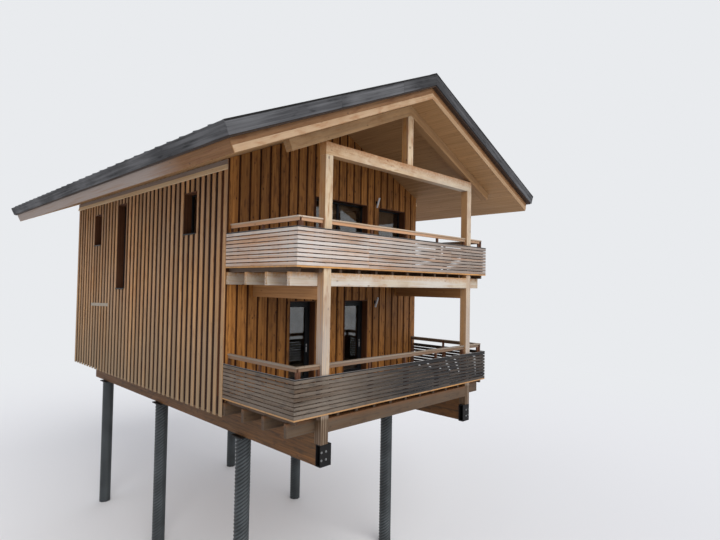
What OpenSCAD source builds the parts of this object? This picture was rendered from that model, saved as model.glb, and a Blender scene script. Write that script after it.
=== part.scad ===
// Alpine chalet on piles: a two-storey timber body under a gabled roof, with an
// open timber frame and two balconies in front of its recessed gable wall.
// Millimetres. The house's own axis is x = 0, y = 0 is the front of the posts
// and z = 0 the foot of the piles. The finished part is set with its origin
// under the middle of the roof's outline, at the foot of the piles.

/* [Foundation] */
// Height of the piles, from their foot to the foundation beams
pile_height = 4670; // [2500:10:6500]
// Diameter of the piles
pile_diameter = 400; // [250:5:600]
// Spacing of the piles along the house
pile_spacing = 4850; // [3600:10:5300]
// Distance of the front piles behind the front of the posts
pile_setback = 3150; // [1200:10:3400]
// Thickness of the steel plate on each pile
pile_plate = 30; // [12:1:60]
// Depth of the two foundation beams
foundation_beam_depth = 720; // [500:10:1000]
// How far the steel plate stands out around a pile
pile_plate_lead = 30; // [10:1:60]
// Height of the steel shoes under the front posts
shoe_height = 470; // [250:10:600]
// Width of the shoes, from the outer faces of the posts inwards
shoe_width = 310; // [220:5:400]
// Depth of the shoes from front to back
shoe_depth = 160; // [100:5:200]
// Steel thickness of the shoes
shoe_steel = 16; // [8:1:25]

/* [Storeys] */
// Thickness of each floor with its joists
floor_depth = 430; // [300:10:550]
// Height from one floor to the next
storey_height = 3166; // [2900:2:3600]
// Clear height under the tie beam above the upper floor
tie_beam_clearance = 2453; // [2300:1:2900]

/* [Body] */
// Width of the walled body
body_width = 7330; // [6600:10:8600]
// Length of the walled body
body_length = 11280; // [10800:10:14000]
// Depth of the balconies, from the posts' front to the wall
balcony_depth = 2745; // [2000:5:3400]
// Thickness of the outer walls
wall_thickness = 360; // [280:5:450]
// Thickness of the skirt that covers the floor's edge
skirt = 60; // [25:5:120]
// Depth of the wall plates under the roof
plate_depth = 250; // [140:10:320]

/* [Post frame] */
// Width of the frame over its two posts
frame_width = 5800; // [4800:10:6400]
// Side of the square posts, and width of the frame's timbers
post_side = 214; // [140:2:300]
// Depth of the tie beam
tie_beam_depth = 284; // [180:2:400]
// Upright depth of the frame's rafters
frame_rafter_depth = 270; // [160:5:400]
// Reach of a frame rafter's upper corner from the house's axis
frame_rafter_reach = 3910; // [3300:10:4400]

/* [Balconies] */
// Width of the cross beams under the balconies
cross_beam_width = 100; // [70:2:160]
// Number of cross beams behind the posts
cross_beam_count = 4; // [3:1:6]
// Depth of the beams from the posts to the wall, under the upper balcony
side_beam_depth = 300; // [200:5:400]
// Width of the beams from the posts to the wall
side_beam_width = 200; // [100:2:214]
// Depth of the deck's joists
joist_depth = 98; // [60:2:160]
// Width of the deck's joists
joist_width = 80; // [50:2:120]
// Number of joists on each side of the middle one
joist_count = 6; // [5:1:9]
// Distance of the joists' ends behind the deck's edge
joist_setback = 90; // [40:5:200]
// Thickness of the deck's boards
deck_board = 36; // [20:1:45]
// How far the balconies' side slats stand out beyond the side walls
balcony_lead = 11; // [0:1:60]
// Distance of the slats' outer face in front of the posts
slat_lead = 50; // [30:1:80]
// Thickness of the slats
slat_thickness = 24; // [15:1:40]
// Height of one slat
slat_height = 72; // [45:1:110]
// Gap between two slats
slat_gap = 18; // [8:1:40]
// Number of slats above each other
slat_count = 9; // [6:1:12]
// Height of the handrail's top above the deck
rail_height = 1050; // [950:10:1200]
// Distance of the handrail behind the slats
rail_inset = 70; // [20:5:120]
// Width of the handrail's flat board
rail_width = 90; // [80:2:140]
// Thickness of the handrail's boards
rail_board = 34; // [20:1:50]
// Height of the apron board under the flat board
rail_apron = 75; // [50:5:120]
// How far the flat board stands out in front of the apron and the posts
rail_lip = 20; // [5:1:20]
// Side of the rail posts
rail_post = 56; // [40:2:60]
// Free gap between the handrail and the main posts
rail_gap = 4; // [2:1:12]
// Number of rail posts along the front, between the main posts
front_rail_posts = 5; // [3:1:8]
// Number of rail posts along each side
side_rail_posts = 3; // [2:1:5]

/* [Roof] */
// Pitch of the roof in degrees
roof_pitch = 24; // [18:0.5:30]
// Reach of the right slope from the house's axis
roof_reach_right = 5290; // [4700:10:6000]
// Reach of the left slope from the house's axis
roof_reach_left = 5850; // [4700:10:6500]
// Overhang of the roof in front of the posts
roof_front = 800; // [500:10:1200]
// Overhang of the roof behind the rear wall
roof_rear = 800; // [500:10:1200]
// Upright thickness of the roof's outer layers
roof_layers = 325; // [300:5:460]
// Upright thickness of the timber roof panels
panel_thickness = 285; // [120:5:300]
// How far up the slope the timber panels stop short of the eaves
panel_inset = 70; // [40:5:300]
// How far the timber panels stop short of the gable edges
panel_setback = 145; // [60:5:200]
// Upright height of the fascia boards along the gable edges
rake_fascia_height = 290; // [200:5:320]
// Upright height of the fascia boards along the eaves
eave_fascia_height = 285; // [150:5:320]
// Thickness of the fascia boards
fascia_board = 30; // [20:1:50]
// Half width of the ridge cap, measured level
ridge_cap_reach = 180; // [100:5:300]
// Thickness of the ridge cap
ridge_cap_sheet = 12; // [4:1:25]

/* [Doors and windows] */
// Distance of door and window frames behind the wall's face
reveal = 195; // [60:5:220]
// Depth of door and window frames
frame_depth = 80; // [60:2:100]
// Face width of door and window frames
frame_face = 62; // [45:1:90]
// Head of the lower glass doors above the floor
lower_door_head = 2310; // [2100:5:2450]
// Width of the opening of the lower left door
left_door_width = 915; // [850:5:1200]
// Place of the lower left door's middle, from the house's axis
left_door_x = -1262; // [-1700:2:-900]
// Width of the opening of the lower right door
right_door_width = 1000; // [850:5:1300]
// Place of the lower right door's middle, from the house's axis
right_door_x = 830; // [500:5:1700]
// Head of the upper glass doors above the floor
upper_door_head = 2110; // [1950:5:2300]
// Width of the opening of the wide upper door
wide_door_width = 2140; // [1600:5:2400]
// Place of the wide upper door's middle, from the house's axis
wide_door_x = 200; // [-200:5:300]
// Width of the opening of the narrow upper door
narrow_door_width = 1300; // [900:5:1400]
// Place of the narrow upper door's middle, from the house's axis
narrow_door_x = 2420; // [2200:5:2600]
// Face width of a door leaf's stiles and rails
leaf_face = 105; // [70:1:130]
// Thickness of a door leaf
leaf_depth = 68; // [50:1:80]
// Free gap around a door leaf
leaf_gap = 10; // [9:0.5:14]
// Height of the lever handles above the door frames' foot
handle_height = 1020; // [950:5:1100]
// Length of the lever handles
handle_length = 125; // [90:5:160]
// Thickness of the lever handles
handle_bar = 18; // [12:1:24]
// Distance of the lever handles in front of the leaf
handle_reach = 50; // [35:1:70]
// Radius of the hinge knuckles
hinge_radius = 9; // [7:0.5:12]
// Reach of the hinge plates from their pin
hinge_plate = 32; // [25:1:40]
// Height of one hinge knuckle
hinge_knuckle = 55; // [35:1:80]
// Radius of the hinge pins
hinge_pin = 4; // [3:0.5:5]
// Distance of the hinge pins behind the door frames
hinge_offset = 12; // [10:0.5:14]
// Distance of the outer hinges from the frame's foot and head
hinge_inset = 260; // [180:5:350]
// Thickness of the glass units
glass_depth = 32; // [20:1:44]
// Distance of the front side windows behind the wall's front
front_window_place = 1870; // [1300:5:2600]
// Distance of the slot windows behind the wall's front
slot_place = 6730; // [5600:5:7200]
// Distance of the rear side windows behind the wall's front
rear_window_place = 9040; // [8200:5:9500]
// Distance of the rear wall's windows from the house's axis
rear_wall_window_x = 1900; // [1400:5:2400]
// Width of the small windows
window_width = 740; // [500:5:1000]
// Height of the small windows
window_height = 1130; // [800:5:1300]
// Head of the small windows above the upper floor
window_head = 2040; // [1800:5:2200]
// Width of the tall slot windows in the side walls
slot_width = 760; // [500:5:1000]
// Height of the tall slot windows
slot_height = 2850; // [2200:10:2900]
// How far a slot window starts below the upper floor
slot_drop = 640; // [300:5:700]
// Width of the entrance door
entrance_width = 1050; // [900:5:1300]
// Height of the entrance door
entrance_height = 2150; // [2000:5:2300]
// Place of the wall lamps, from the house's axis
lamp_x = 1660; // [1500:5:1750]
// Height of the lamps' middle above the floor
lamp_rise = 2240; // [2000:5:2300]
// Length of the tube of a wall lamp
lamp_length = 320; // [150:5:400]
// Diameter of the tube of a wall lamp
lamp_diameter = 60; // [40:2:90]
// Tilt of a lamp's head away from the wall in degrees
lamp_tilt = 20; // [0:1:35]
// Distance of a lamp's middle from the wall
lamp_reach = 100; // [80:1:140]
// Side of a lamp's square bracket
lamp_bracket = 44; // [30:1:70]

/* [Hidden] */

// Levels, from the foot of the piles
beam_top = pile_height + foundation_beam_depth;
shoe_top = pile_height + shoe_height;
lower_floor = beam_top + floor_depth;
upper_floor_level = lower_floor + storey_height;
tie_bottom = upper_floor_level + tie_beam_clearance;
tie_top = tie_bottom + tie_beam_depth;

// The balconies' beams lie on the foundation beams, or on the side beams above
deck_depth = joist_depth + deck_board;
balcony_beam_depth = floor_depth - deck_depth;

// Free gap between slanted timbers that lie on each other
joint_gap = 0.5;

// Overlap of a cut past the faces it opens, and of a piece into the one it grows from
overlap = 1;

// Play of a hinge pin in the leaf's knuckle, and free height between two knuckles
hinge_play = 0.1;
hinge_rise = 5;

// The roof's planes, as their heights above the house's axis. The frame's rafters
// meet the tie beam's top at the outer faces of the posts.
half_frame = frame_width / 2;
slope = tan(roof_pitch);
rafter_base = ceil(tie_top + slope * half_frame + joint_gap);
panel_base = rafter_base + frame_rafter_depth;
ridge_z = panel_base + panel_thickness + roof_layers;
rafter_drop = ridge_z - rafter_base;
panel_drop = ridge_z - panel_base;

// Plan of the walls
half_body = body_width / 2;
half_room = half_body - wall_thickness;
wall_front = balcony_depth;
wall_rear = balcony_depth + body_length;
room_front = wall_front + wall_thickness;
room_rear = wall_rear - wall_thickness;
plate_bottom = floor(panel_base - slope * half_body - plate_depth);
roof_end = wall_rear + roof_rear;

// Doors of the lower storey
lower_door_top = lower_floor + lower_door_head;
upper_door_top = upper_floor_level + upper_door_head;
frame_y = wall_front + reveal;
leaf_edge = frame_face + leaf_gap;
leaf_setback = (frame_depth - leaf_depth) / 2;

// Balcony edges
half_balcony = half_body + balcony_lead;
post_inner = half_frame - post_side;
post_axis = half_frame - post_side / 2;
slat_line = -slat_lead + slat_thickness;
rail_line = slat_line + rail_inset;
half_rail = half_balcony - slat_thickness - rail_inset;
slat_stack = slat_count * (slat_height + slat_gap) - slat_gap;

// The places of the windows along the side walls, as the middles of the openings
front_window_y = wall_front + front_window_place;
slot_y = wall_front + slot_place;
rear_window_y = wall_front + rear_window_place;
slot_bottom = upper_floor_level - slot_drop;
window_top = upper_floor_level + window_head;

$fn = 48;

function roof_top(x) = ridge_z - slope * abs(x);

// The point at an upright drop under the roof's top, on the line that leaves the
// roof's top square to the slope at x
function square_under(x, drop) = let (depth = drop * cos(roof_pitch))
    [x - sign(x) * depth * sin(roof_pitch), roof_top(x) - depth * cos(roof_pitch)];

// Basic shapes

module block(x0, x1, y0, y1, z0, z1)
    translate([x0, y0, z0]) cube([x1 - x0, y1 - y0, z1 - z0]);

// Stretches an outline drawn in x and z from y0 to y1
module along_y(y0, y1)
    translate([0, y1, 0]) rotate([90, 0, 0]) linear_extrude(height = y1 - y0) children();

// Stretches an outline drawn in y and z from x0 to x1
module along_x(x0, x1)
    translate([x0, 0, 0]) rotate([90, 0, 90]) linear_extrude(height = x1 - x0) children();

module mirrored() {
    children();
    mirror([1, 0, 0]) children();
}

// One slope of the roof between two drops under its top, its end cut square
module slope_band(x_end, drop_top, drop_bottom)
    polygon([
        [0, ridge_z - drop_top],
        square_under(x_end, drop_top),
        square_under(x_end, drop_bottom),
        [0, ridge_z - drop_bottom]
    ]);

// Both slopes of the roof between two drops under its top, their ends cut square
module gable_band(x_left, x_right, drop_top, drop_bottom)
    polygon([
        square_under(x_left, drop_top),
        [0, ridge_z - drop_top],
        square_under(x_right, drop_top),
        square_under(x_right, drop_bottom),
        [0, ridge_z - drop_bottom],
        square_under(x_left, drop_bottom)
    ]);

// Moves the house so that the origin lies under the middle of the roof's outline
module place()
    translate([(roof_reach_left - roof_reach_right) / 2, -(roof_end - roof_front) / 2, 0])
        children();

// Foundation

module each_pile()
    for (x = [-post_axis, post_axis], i = [0:2])
        translate([x, pile_setback + i * pile_spacing, 0]) children();

module piles()
    color("dimgray") place() each_pile()
        cylinder(d = pile_diameter, h = pile_height - pile_plate);

module pile_plates()
    color("#2b2d30") place() each_pile()
        translate([0, 0, pile_height - pile_plate / 2])
            cube([pile_diameter + 2 * pile_plate_lead, pile_diameter + 2 * pile_plate_lead,
                pile_plate], center = true);

// Each beam is notched at its front, where it carries the rear edge of a post
module foundation_beams()
    color("#6b4326") place() mirrored() along_x(post_inner, half_frame)
        polygon([
            [shoe_depth, pile_height],
            [wall_rear - skirt, pile_height],
            [wall_rear - skirt, beam_top],
            [post_side, beam_top],
            [post_side, shoe_top],
            [shoe_depth, shoe_top]
        ]);

// A welded shoe: an upright H between two plates
module post_shoes()
    color("#1f2022") place() mirrored() {
        web_x = post_axis - shoe_steel / 2;
        for (y = [0, shoe_depth - shoe_steel])
            block(half_frame - shoe_width, half_frame, y, y + shoe_steel,
                pile_height, shoe_top);
        block(web_x, web_x + shoe_steel, 0, shoe_depth, pile_height, shoe_top);
        for (z = [pile_height, shoe_top - shoe_steel])
            block(half_frame - shoe_width, half_frame, 0, shoe_depth, z, z + shoe_steel);
    }

// Open frame in front of the gable

module front_posts()
    color("#d9b184") place() mirrored()
        block(post_inner, half_frame, 0, post_side, shoe_top, tie_bottom);

module tie_beam()
    color("#dcb68a") place()
        block(-half_frame, half_frame, 0, post_side, tie_bottom, tie_top);

module king_post()
    color("#dcb68a") place() along_y(0, post_side) intersection() {
        translate([-post_side / 2, tie_top]) square([post_side, rafter_base - tie_top]);
        polygon([
            [-half_frame, tie_top],
            [half_frame, tie_top],
            [0, rafter_base - joint_gap]
        ]);
    }

module frame_rafters() color("#cfa679") place() {
    drop = panel_drop + joint_gap;
    x_end = frame_rafter_reach + drop * cos(roof_pitch) * sin(roof_pitch);
    along_y(0, post_side) gable_band(-x_end, x_end, drop, rafter_drop);
}

// Floors

module ground_floor()
    color("#a98158") place()
        block(-half_body + skirt, half_body - skirt, wall_front, wall_rear - skirt,
            beam_top, lower_floor);

module upper_floor()
    color("#a98158") place()
        block(-half_room, half_room, room_front, room_rear,
            upper_floor_level - floor_depth, upper_floor_level);

// Walls

// Cuts the three openings of a side wall
module side_openings(x0, x1) {
    block(x0, x1, slot_y - slot_width / 2, slot_y + slot_width / 2,
        slot_bottom, slot_bottom + slot_height);
    for (y = [front_window_y, rear_window_y])
        block(x0, x1, y - window_width / 2, y + window_width / 2,
            window_top - window_height, window_top);
}

// The right wall: it stands on the floor, and a skirt covers the floor's edge
module side_wall() difference() {
    union() {
        block(half_room, half_body, room_front, room_rear, lower_floor, plate_bottom);
        block(half_body - skirt, half_body, wall_front, wall_rear, beam_top, lower_floor);
    }
    side_openings(half_room - overlap, half_body + overlap);
}

module right_wall() color("#b98a5c") place() side_wall();

module left_wall() color("#b98a5c") place() mirror([1, 0, 0]) side_wall();

module gable_outline(z0)
    polygon([
        [-half_body, z0],
        [half_body, z0],
        [half_body, roof_top(half_body) - rafter_drop - joint_gap],
        [0, rafter_base - joint_gap],
        [-half_body, roof_top(half_body) - rafter_drop - joint_gap]
    ]);

module rear_wall() color("#b98a5c") place() difference() {
    union() {
        along_y(room_rear, wall_rear) gable_outline(lower_floor);
        block(-half_body + skirt, half_body - skirt, wall_rear - skirt, wall_rear,
            beam_top, lower_floor);
    }
    block(-entrance_width / 2, entrance_width / 2, room_rear - overlap, wall_rear + overlap,
        lower_floor, lower_floor + entrance_height);
    mirrored() block(rear_wall_window_x - window_width / 2,
        rear_wall_window_x + window_width / 2, room_rear - overlap, wall_rear + overlap,
        window_top - window_height, window_top);
}

module lower_front_piers() color("#b07a45") place() {
    block(-half_body, left_door_x - left_door_width / 2, wall_front, room_front,
        lower_floor, lower_door_top);
    block(left_door_x + left_door_width / 2, right_door_x - right_door_width / 2,
        wall_front, room_front, lower_floor, lower_door_top);
    block(right_door_x + right_door_width / 2, half_body, wall_front, room_front,
        lower_floor, lower_door_top);
}

module upper_front_wall() color("#b07a45") place() difference() {
    along_y(wall_front, room_front) gable_outline(lower_door_top);
    block(wide_door_x - wide_door_width / 2, wide_door_x + wide_door_width / 2,
        wall_front - overlap, room_front + overlap, upper_floor_level, upper_door_top);
    block(narrow_door_x - narrow_door_width / 2, narrow_door_x + narrow_door_width / 2,
        wall_front - overlap, room_front + overlap, upper_floor_level, upper_door_top);
}

module wall_plates()
    color("#cfa679") place() mirrored() along_y(room_front, room_rear)
        polygon([
            [half_room, plate_bottom],
            [half_body, plate_bottom],
            [half_body, roof_top(half_body) - panel_drop - joint_gap],
            [half_room, roof_top(half_room) - panel_drop - joint_gap]
        ]);

// Rafters on the gable walls, cut plumb at the side walls' faces
module gable_rafter() intersection() {
    gable_band(-roof_reach_left, roof_reach_right, panel_drop + joint_gap, rafter_drop);
    translate([-half_body, 0]) square([body_width, ridge_z]);
}

module gable_rafters() color("#cfa679") place() {
    along_y(wall_front, room_front) gable_rafter();
    along_y(room_rear, wall_rear) gable_rafter();
}

// Balconies, each made for the level of its deck. A beam between the posts and cross
// beams behind them carry the joists, the joists carry the boards.

module balcony_beams(deck_level) {
    top = deck_level - deck_depth;
    spacing = (wall_front - post_side - cross_beam_width) / (cross_beam_count - 1);
    block(-post_inner, post_inner, 0, post_side, top - balcony_beam_depth, top);
    for (i = [0 : cross_beam_count - 1], y = post_side + i * spacing)
        block(-half_balcony + slat_thickness, half_balcony - slat_thickness,
            y, y + cross_beam_width, top - balcony_beam_depth, top);
}

module side_beams() color("#9a6b42") place() mirrored() {
    top = upper_floor_level - floor_depth;
    block(post_axis - side_beam_width / 2, post_axis + side_beam_width / 2,
        post_side, wall_front, top - side_beam_depth, top);
}

module around_posts(deck_level)
    mirrored()
        block(post_inner, half_frame, 0, post_side,
            deck_level - deck_depth - overlap, deck_level + overlap);

module joists(deck_level) difference() {
    outer = half_balcony - joist_setback - joist_width / 2;
    for (i = [-joist_count : joist_count])
        block(i * outer / joist_count - joist_width / 2, i * outer / joist_count + joist_width / 2,
            -slat_lead + joist_setback, wall_front,
            deck_level - deck_depth, deck_level - deck_board);
    around_posts(deck_level);
}

module deck(deck_level) difference() {
    block(-half_balcony, half_balcony, -slat_lead, wall_front,
        deck_level - deck_board, deck_level);
    around_posts(deck_level);
}

module slats(length)
    for (i = [0 : slat_count - 1])
        translate([0, 0, i * (slat_height + slat_gap)])
            cube([length, slat_thickness, slat_height]);

module front_slats(deck_level)
    translate([-half_balcony, -slat_lead, deck_level]) slats(2 * half_balcony);

module right_slats(deck_level)
    translate([half_balcony, slat_line, deck_level]) rotate([0, 0, 90])
        slats(wall_front - slat_line);

// A run of handrail: a flat board with an apron board under it, on posts. A fin in
// front of each post carries the slats.
module rail_run(length, posts) {
    board_foot = rail_height - rail_board;
    translate([0, 0, board_foot]) cube([length, rail_width, rail_board]);
    translate([0, rail_lip, board_foot - rail_apron]) cube([length, rail_board, rail_apron]);
    for (i = [0 : posts - 1]) {
        x = i * (length - rail_post) / (posts - 1);
        block(x, x + rail_post, rail_lip, rail_lip + rail_post, 0, board_foot);
        block(x, x + rail_post, -rail_inset, rail_lip, 0, slat_stack);
    }
}

module handrail(deck_level) {
    corner_run = half_rail - rail_width - half_frame - 2 * rail_gap;
    translate([-post_inner + rail_gap, rail_line, deck_level])
        rail_run(2 * (post_inner - rail_gap), front_rail_posts);
    mirrored() {
        translate([half_rail, rail_line, deck_level]) rotate([0, 0, 90])
            rail_run(wall_front - rail_line, side_rail_posts);
        translate([half_frame + rail_gap, rail_line, deck_level]) rail_run(corner_run, 2);
    }
}

module lower_balcony_beams() color("#c9965f") place() balcony_beams(lower_floor);
module upper_balcony_beams() color("#dcb68a") place() balcony_beams(upper_floor_level);
module lower_joists() color("#6f553c") place() joists(lower_floor);
module upper_joists() color("#6f553c") place() joists(upper_floor_level);
module lower_deck() color("#8a7259") place() deck(lower_floor);
module upper_deck() color("#8a7259") place() deck(upper_floor_level);
module lower_front_slats() color("#9a8979") place() front_slats(lower_floor);
module lower_right_slats() color("#9a8979") place() right_slats(lower_floor);
module lower_left_slats() color("#9a8979") place() mirror([1, 0, 0]) right_slats(lower_floor);
module upper_front_slats() color("#c9a58a") place() front_slats(upper_floor_level);
module upper_right_slats() color("#c9a58a") place() right_slats(upper_floor_level);
module upper_left_slats()
    color("#c9a58a") place() mirror([1, 0, 0]) right_slats(upper_floor_level);
module lower_handrail() color("#b39a80") place() handrail(lower_floor);
module upper_handrail() color("#dcc0a0") place() handrail(upper_floor_level);

// Roof

// Where the slopes' ends leave the roof's top, inwards by a distance along the slope
function right_end(inwards) = roof_reach_right - inwards * cos(roof_pitch);
function left_end(inwards) = -roof_reach_left + inwards * cos(roof_pitch);

module roof_panel(x_end)
    along_y(-roof_front + panel_setback, roof_end - panel_setback)
        slope_band(x_end, roof_layers + joint_gap, panel_drop);

module roof_slope(x_end)
    along_y(-roof_front + fascia_board, roof_end - fascia_board)
        slope_band(x_end, 0, roof_layers);

module roof_panel_right() color("#b98f66") place() roof_panel(right_end(panel_inset));
module roof_panel_left() color("#b98f66") place() roof_panel(left_end(panel_inset));
module roof_slope_right()
    color("#3c4146") place() roof_slope(right_end(fascia_board + joint_gap));
module roof_slope_left()
    color("#3c4146") place() roof_slope(left_end(fascia_board + joint_gap));

// A folded sheet over each slope's top edge
module ridge_cap() color("#33383c") place() mirrored() along_y(-roof_front, roof_end)
    polygon([
        [joint_gap, roof_top(joint_gap) + ridge_cap_sheet],
        [ridge_cap_reach, roof_top(ridge_cap_reach) + ridge_cap_sheet],
        [ridge_cap_reach, roof_top(ridge_cap_reach) + joint_gap],
        [joint_gap, roof_top(joint_gap) + joint_gap]
    ]);

module rake_fascia() gable_band(-roof_reach_left, roof_reach_right, 0, rake_fascia_height);

module rake_fascias() color("#353b42") place() {
    along_y(-roof_front, -roof_front + fascia_board) rake_fascia();
    along_y(roof_end - fascia_board, roof_end) rake_fascia();
}

module eave_fascia(x0, x1)
    along_y(-roof_front + fascia_board, roof_end - fascia_board)
        polygon([
            square_under(x0, 0),
            square_under(x1, 0),
            square_under(x1, eave_fascia_height),
            square_under(x0, eave_fascia_height)
        ]);

module eave_fascias() color("#353b42") place() {
    eave_fascia(right_end(fascia_board), roof_reach_right);
    eave_fascia(left_end(fascia_board), -roof_reach_left);
}

// Doors and windows. Each frame is drawn in x and z, with its outer corner at zero.

module ring(width, height, face) difference() {
    square([width, height]);
    translate([face, face]) square([width - 2 * face, height - 2 * face]);
}

module opening_frame(width, height, mullions = 0)
    along_y(0, frame_depth) {
        ring(width, height, frame_face);
        for (i = [0 : mullions]) if (i > 0)
            translate([i * width / (mullions + 1) - frame_face / 2, frame_face / 2])
                square([frame_face, height - frame_face]);
    }

module opening_glass(width, height, mullions = 0) {
    pitch = width / (mullions + 1);
    for (i = [0 : mullions]) {
        left = i == 0 ? frame_face : i * pitch + frame_face / 2;
        right = i == mullions ? width - frame_face : (i + 1) * pitch - frame_face / 2;
        block(left, right, (frame_depth - glass_depth) / 2, (frame_depth + glass_depth) / 2,
            frame_face, height - frame_face);
    }
}

module at_left_door()
    translate([left_door_x - left_door_width / 2, frame_y, lower_floor]) children();

module at_right_door()
    translate([right_door_x - right_door_width / 2, frame_y, lower_floor]) children();

// Hinges behind the left edge of a leaf. The frame's knuckle carries the pin, and the
// leaf's knuckle turns on it.
module each_hinge()
    for (z = [hinge_inset, lower_door_head / 2, lower_door_head - hinge_inset])
        translate([frame_face + leaf_gap / 2, frame_depth + hinge_offset, z]) children();

module frame_knuckle() {
    cylinder(r = hinge_radius, h = hinge_knuckle);
    cylinder(r = hinge_pin, h = 2 * hinge_knuckle + hinge_rise);
    block(-hinge_plate, -leaf_gap / 2, -hinge_offset, -hinge_pin, 0, hinge_knuckle);
}

module leaf_knuckle() translate([0, 0, hinge_knuckle + hinge_rise]) {
    difference() {
        cylinder(r = hinge_radius, h = hinge_knuckle);
        translate([0, 0, -overlap])
            cylinder(r = hinge_pin + hinge_play, h = hinge_knuckle + 2 * overlap);
    }
    block(leaf_gap / 2, hinge_plate, -hinge_offset - leaf_setback, -hinge_pin - hinge_play,
        0, hinge_knuckle);
}

module hinged_frame(width) {
    opening_frame(width, lower_door_head);
    each_hinge() frame_knuckle();
}

module lower_door_frames() color("#26292c") place() {
    at_left_door() hinged_frame(left_door_width);
    at_right_door() hinged_frame(right_door_width);
}

// A glass door's leaf, hung at its left edge, with a lever handle on its right stile
module door_leaf(width) {
    leaf_width = width - 2 * leaf_edge;
    leaf_height = lower_door_head - 2 * leaf_edge;
    handle_x = leaf_edge + leaf_width - leaf_face / 2;
    handle_y = leaf_setback - handle_reach;
    translate([leaf_edge, 0, leaf_edge]) along_y(leaf_setback, leaf_setback + leaf_depth)
        ring(leaf_width, leaf_height, leaf_face);
    translate([handle_x, leaf_setback + overlap, handle_height]) rotate([90, 0, 0])
        cylinder(d = handle_bar, h = handle_reach - handle_bar / 2);
    block(handle_x - handle_length, handle_x + handle_bar / 2, handle_y, handle_y + handle_bar,
        handle_height - handle_bar / 2, handle_height + handle_bar / 2);
    each_hinge() leaf_knuckle();
}

module door_glass(width)
    block(leaf_edge + leaf_face, width - leaf_edge - leaf_face,
        (frame_depth - glass_depth) / 2, (frame_depth + glass_depth) / 2,
        leaf_edge + leaf_face, lower_door_head - leaf_edge - leaf_face);

module left_door_leaf() color("#26292c") place() at_left_door() door_leaf(left_door_width);
module left_door_glass() color("#8fa3ad") place() at_left_door() door_glass(left_door_width);
module right_door_leaf() color("#26292c") place() at_right_door() door_leaf(right_door_width);
module right_door_glass() color("#8fa3ad") place() at_right_door() door_glass(right_door_width);

module at_wide_door()
    translate([wide_door_x - wide_door_width / 2, frame_y, upper_floor_level]) children();

module at_narrow_door()
    translate([narrow_door_x - narrow_door_width / 2, frame_y, upper_floor_level]) children();

module upper_door_frames() color("#26292c") place() {
    at_wide_door() opening_frame(wide_door_width, upper_door_head, 1);
    at_narrow_door() opening_frame(narrow_door_width, upper_door_head);
}

module upper_door_glass() color("#8fa3ad") place() {
    at_wide_door() opening_glass(wide_door_width, upper_door_head, 1);
    at_narrow_door() opening_glass(narrow_door_width, upper_door_head);
}

// Sets a frame, drawn as on the front wall, into the right wall at y
module on_right_wall(y, width, z)
    translate([half_body - reveal, y - width / 2, z]) rotate([0, 0, 90]) children();

// Sets a frame into the rear wall at x
module on_rear_wall(x, width, z)
    translate([x + width / 2, wall_rear - reveal, z]) rotate([0, 0, 180]) children();

module each_small_window() {
    mirrored() {
        for (y = [front_window_y, rear_window_y])
            on_right_wall(y, window_width, window_top - window_height) children();
        on_rear_wall(rear_wall_window_x, window_width, window_top - window_height) children();
    }
}

module window_frames() color("#26292c") place() {
    each_small_window() opening_frame(window_width, window_height);
    mirrored() on_right_wall(slot_y, slot_width, slot_bottom)
        opening_frame(slot_width, slot_height);
}

module window_glass() color("#8fa3ad") place() {
    each_small_window() opening_glass(window_width, window_height);
    mirrored() on_right_wall(slot_y, slot_width, slot_bottom)
        opening_glass(slot_width, slot_height);
}

module entrance_door()
    color("#7d5434") place() on_rear_wall(0, entrance_width, lower_floor)
        cube([entrance_width, frame_depth, entrance_height]);

// Lamps: a tilted tube on a square bracket, one for each storey
module wall_lamp(level)
    translate([lamp_x, wall_front, level + lamp_rise]) {
        block(-lamp_bracket / 2, lamp_bracket / 2, -lamp_reach, 0,
            -lamp_bracket / 2, lamp_bracket / 2);
        translate([0, -lamp_reach, 0]) rotate([lamp_tilt, 0, 0])
            cylinder(d = lamp_diameter, h = lamp_length, center = true);
    }

module wall_lamps() color("#3a3d40") place() {
    wall_lamp(lower_floor);
    wall_lamp(upper_floor_level);
}

piles();
pile_plates();
foundation_beams();
post_shoes();
front_posts();
tie_beam();
king_post();
frame_rafters();
ground_floor();
upper_floor();
left_wall();
right_wall();
rear_wall();
lower_front_piers();
upper_front_wall();
wall_plates();
gable_rafters();
lower_balcony_beams();
upper_balcony_beams();
side_beams();
lower_joists();
upper_joists();
lower_deck();
upper_deck();
lower_front_slats();
lower_left_slats();
lower_right_slats();
upper_front_slats();
upper_left_slats();
upper_right_slats();
lower_handrail();
upper_handrail();
roof_panel_left();
roof_panel_right();
roof_slope_left();
roof_slope_right();
ridge_cap();
rake_fascias();
eave_fascias();
lower_door_frames();
left_door_leaf();
left_door_glass();
right_door_leaf();
right_door_glass();
upper_door_frames();
upper_door_glass();
window_frames();
window_glass();
entrance_door();
wall_lamps();
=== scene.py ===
import logging
import math
import random
from dataclasses import dataclass
from enum import Enum
from functools import cache
from typing import Iterable, Iterator, Optional, Sequence, Union

import bmesh
import bpy
from bmesh.types import BMEdge, BMesh, BMVert
from bpy.types import Material, Node, NodeSocket, NodeTree, Object, Scene, World
from mathutils import Matrix, Vector


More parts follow.
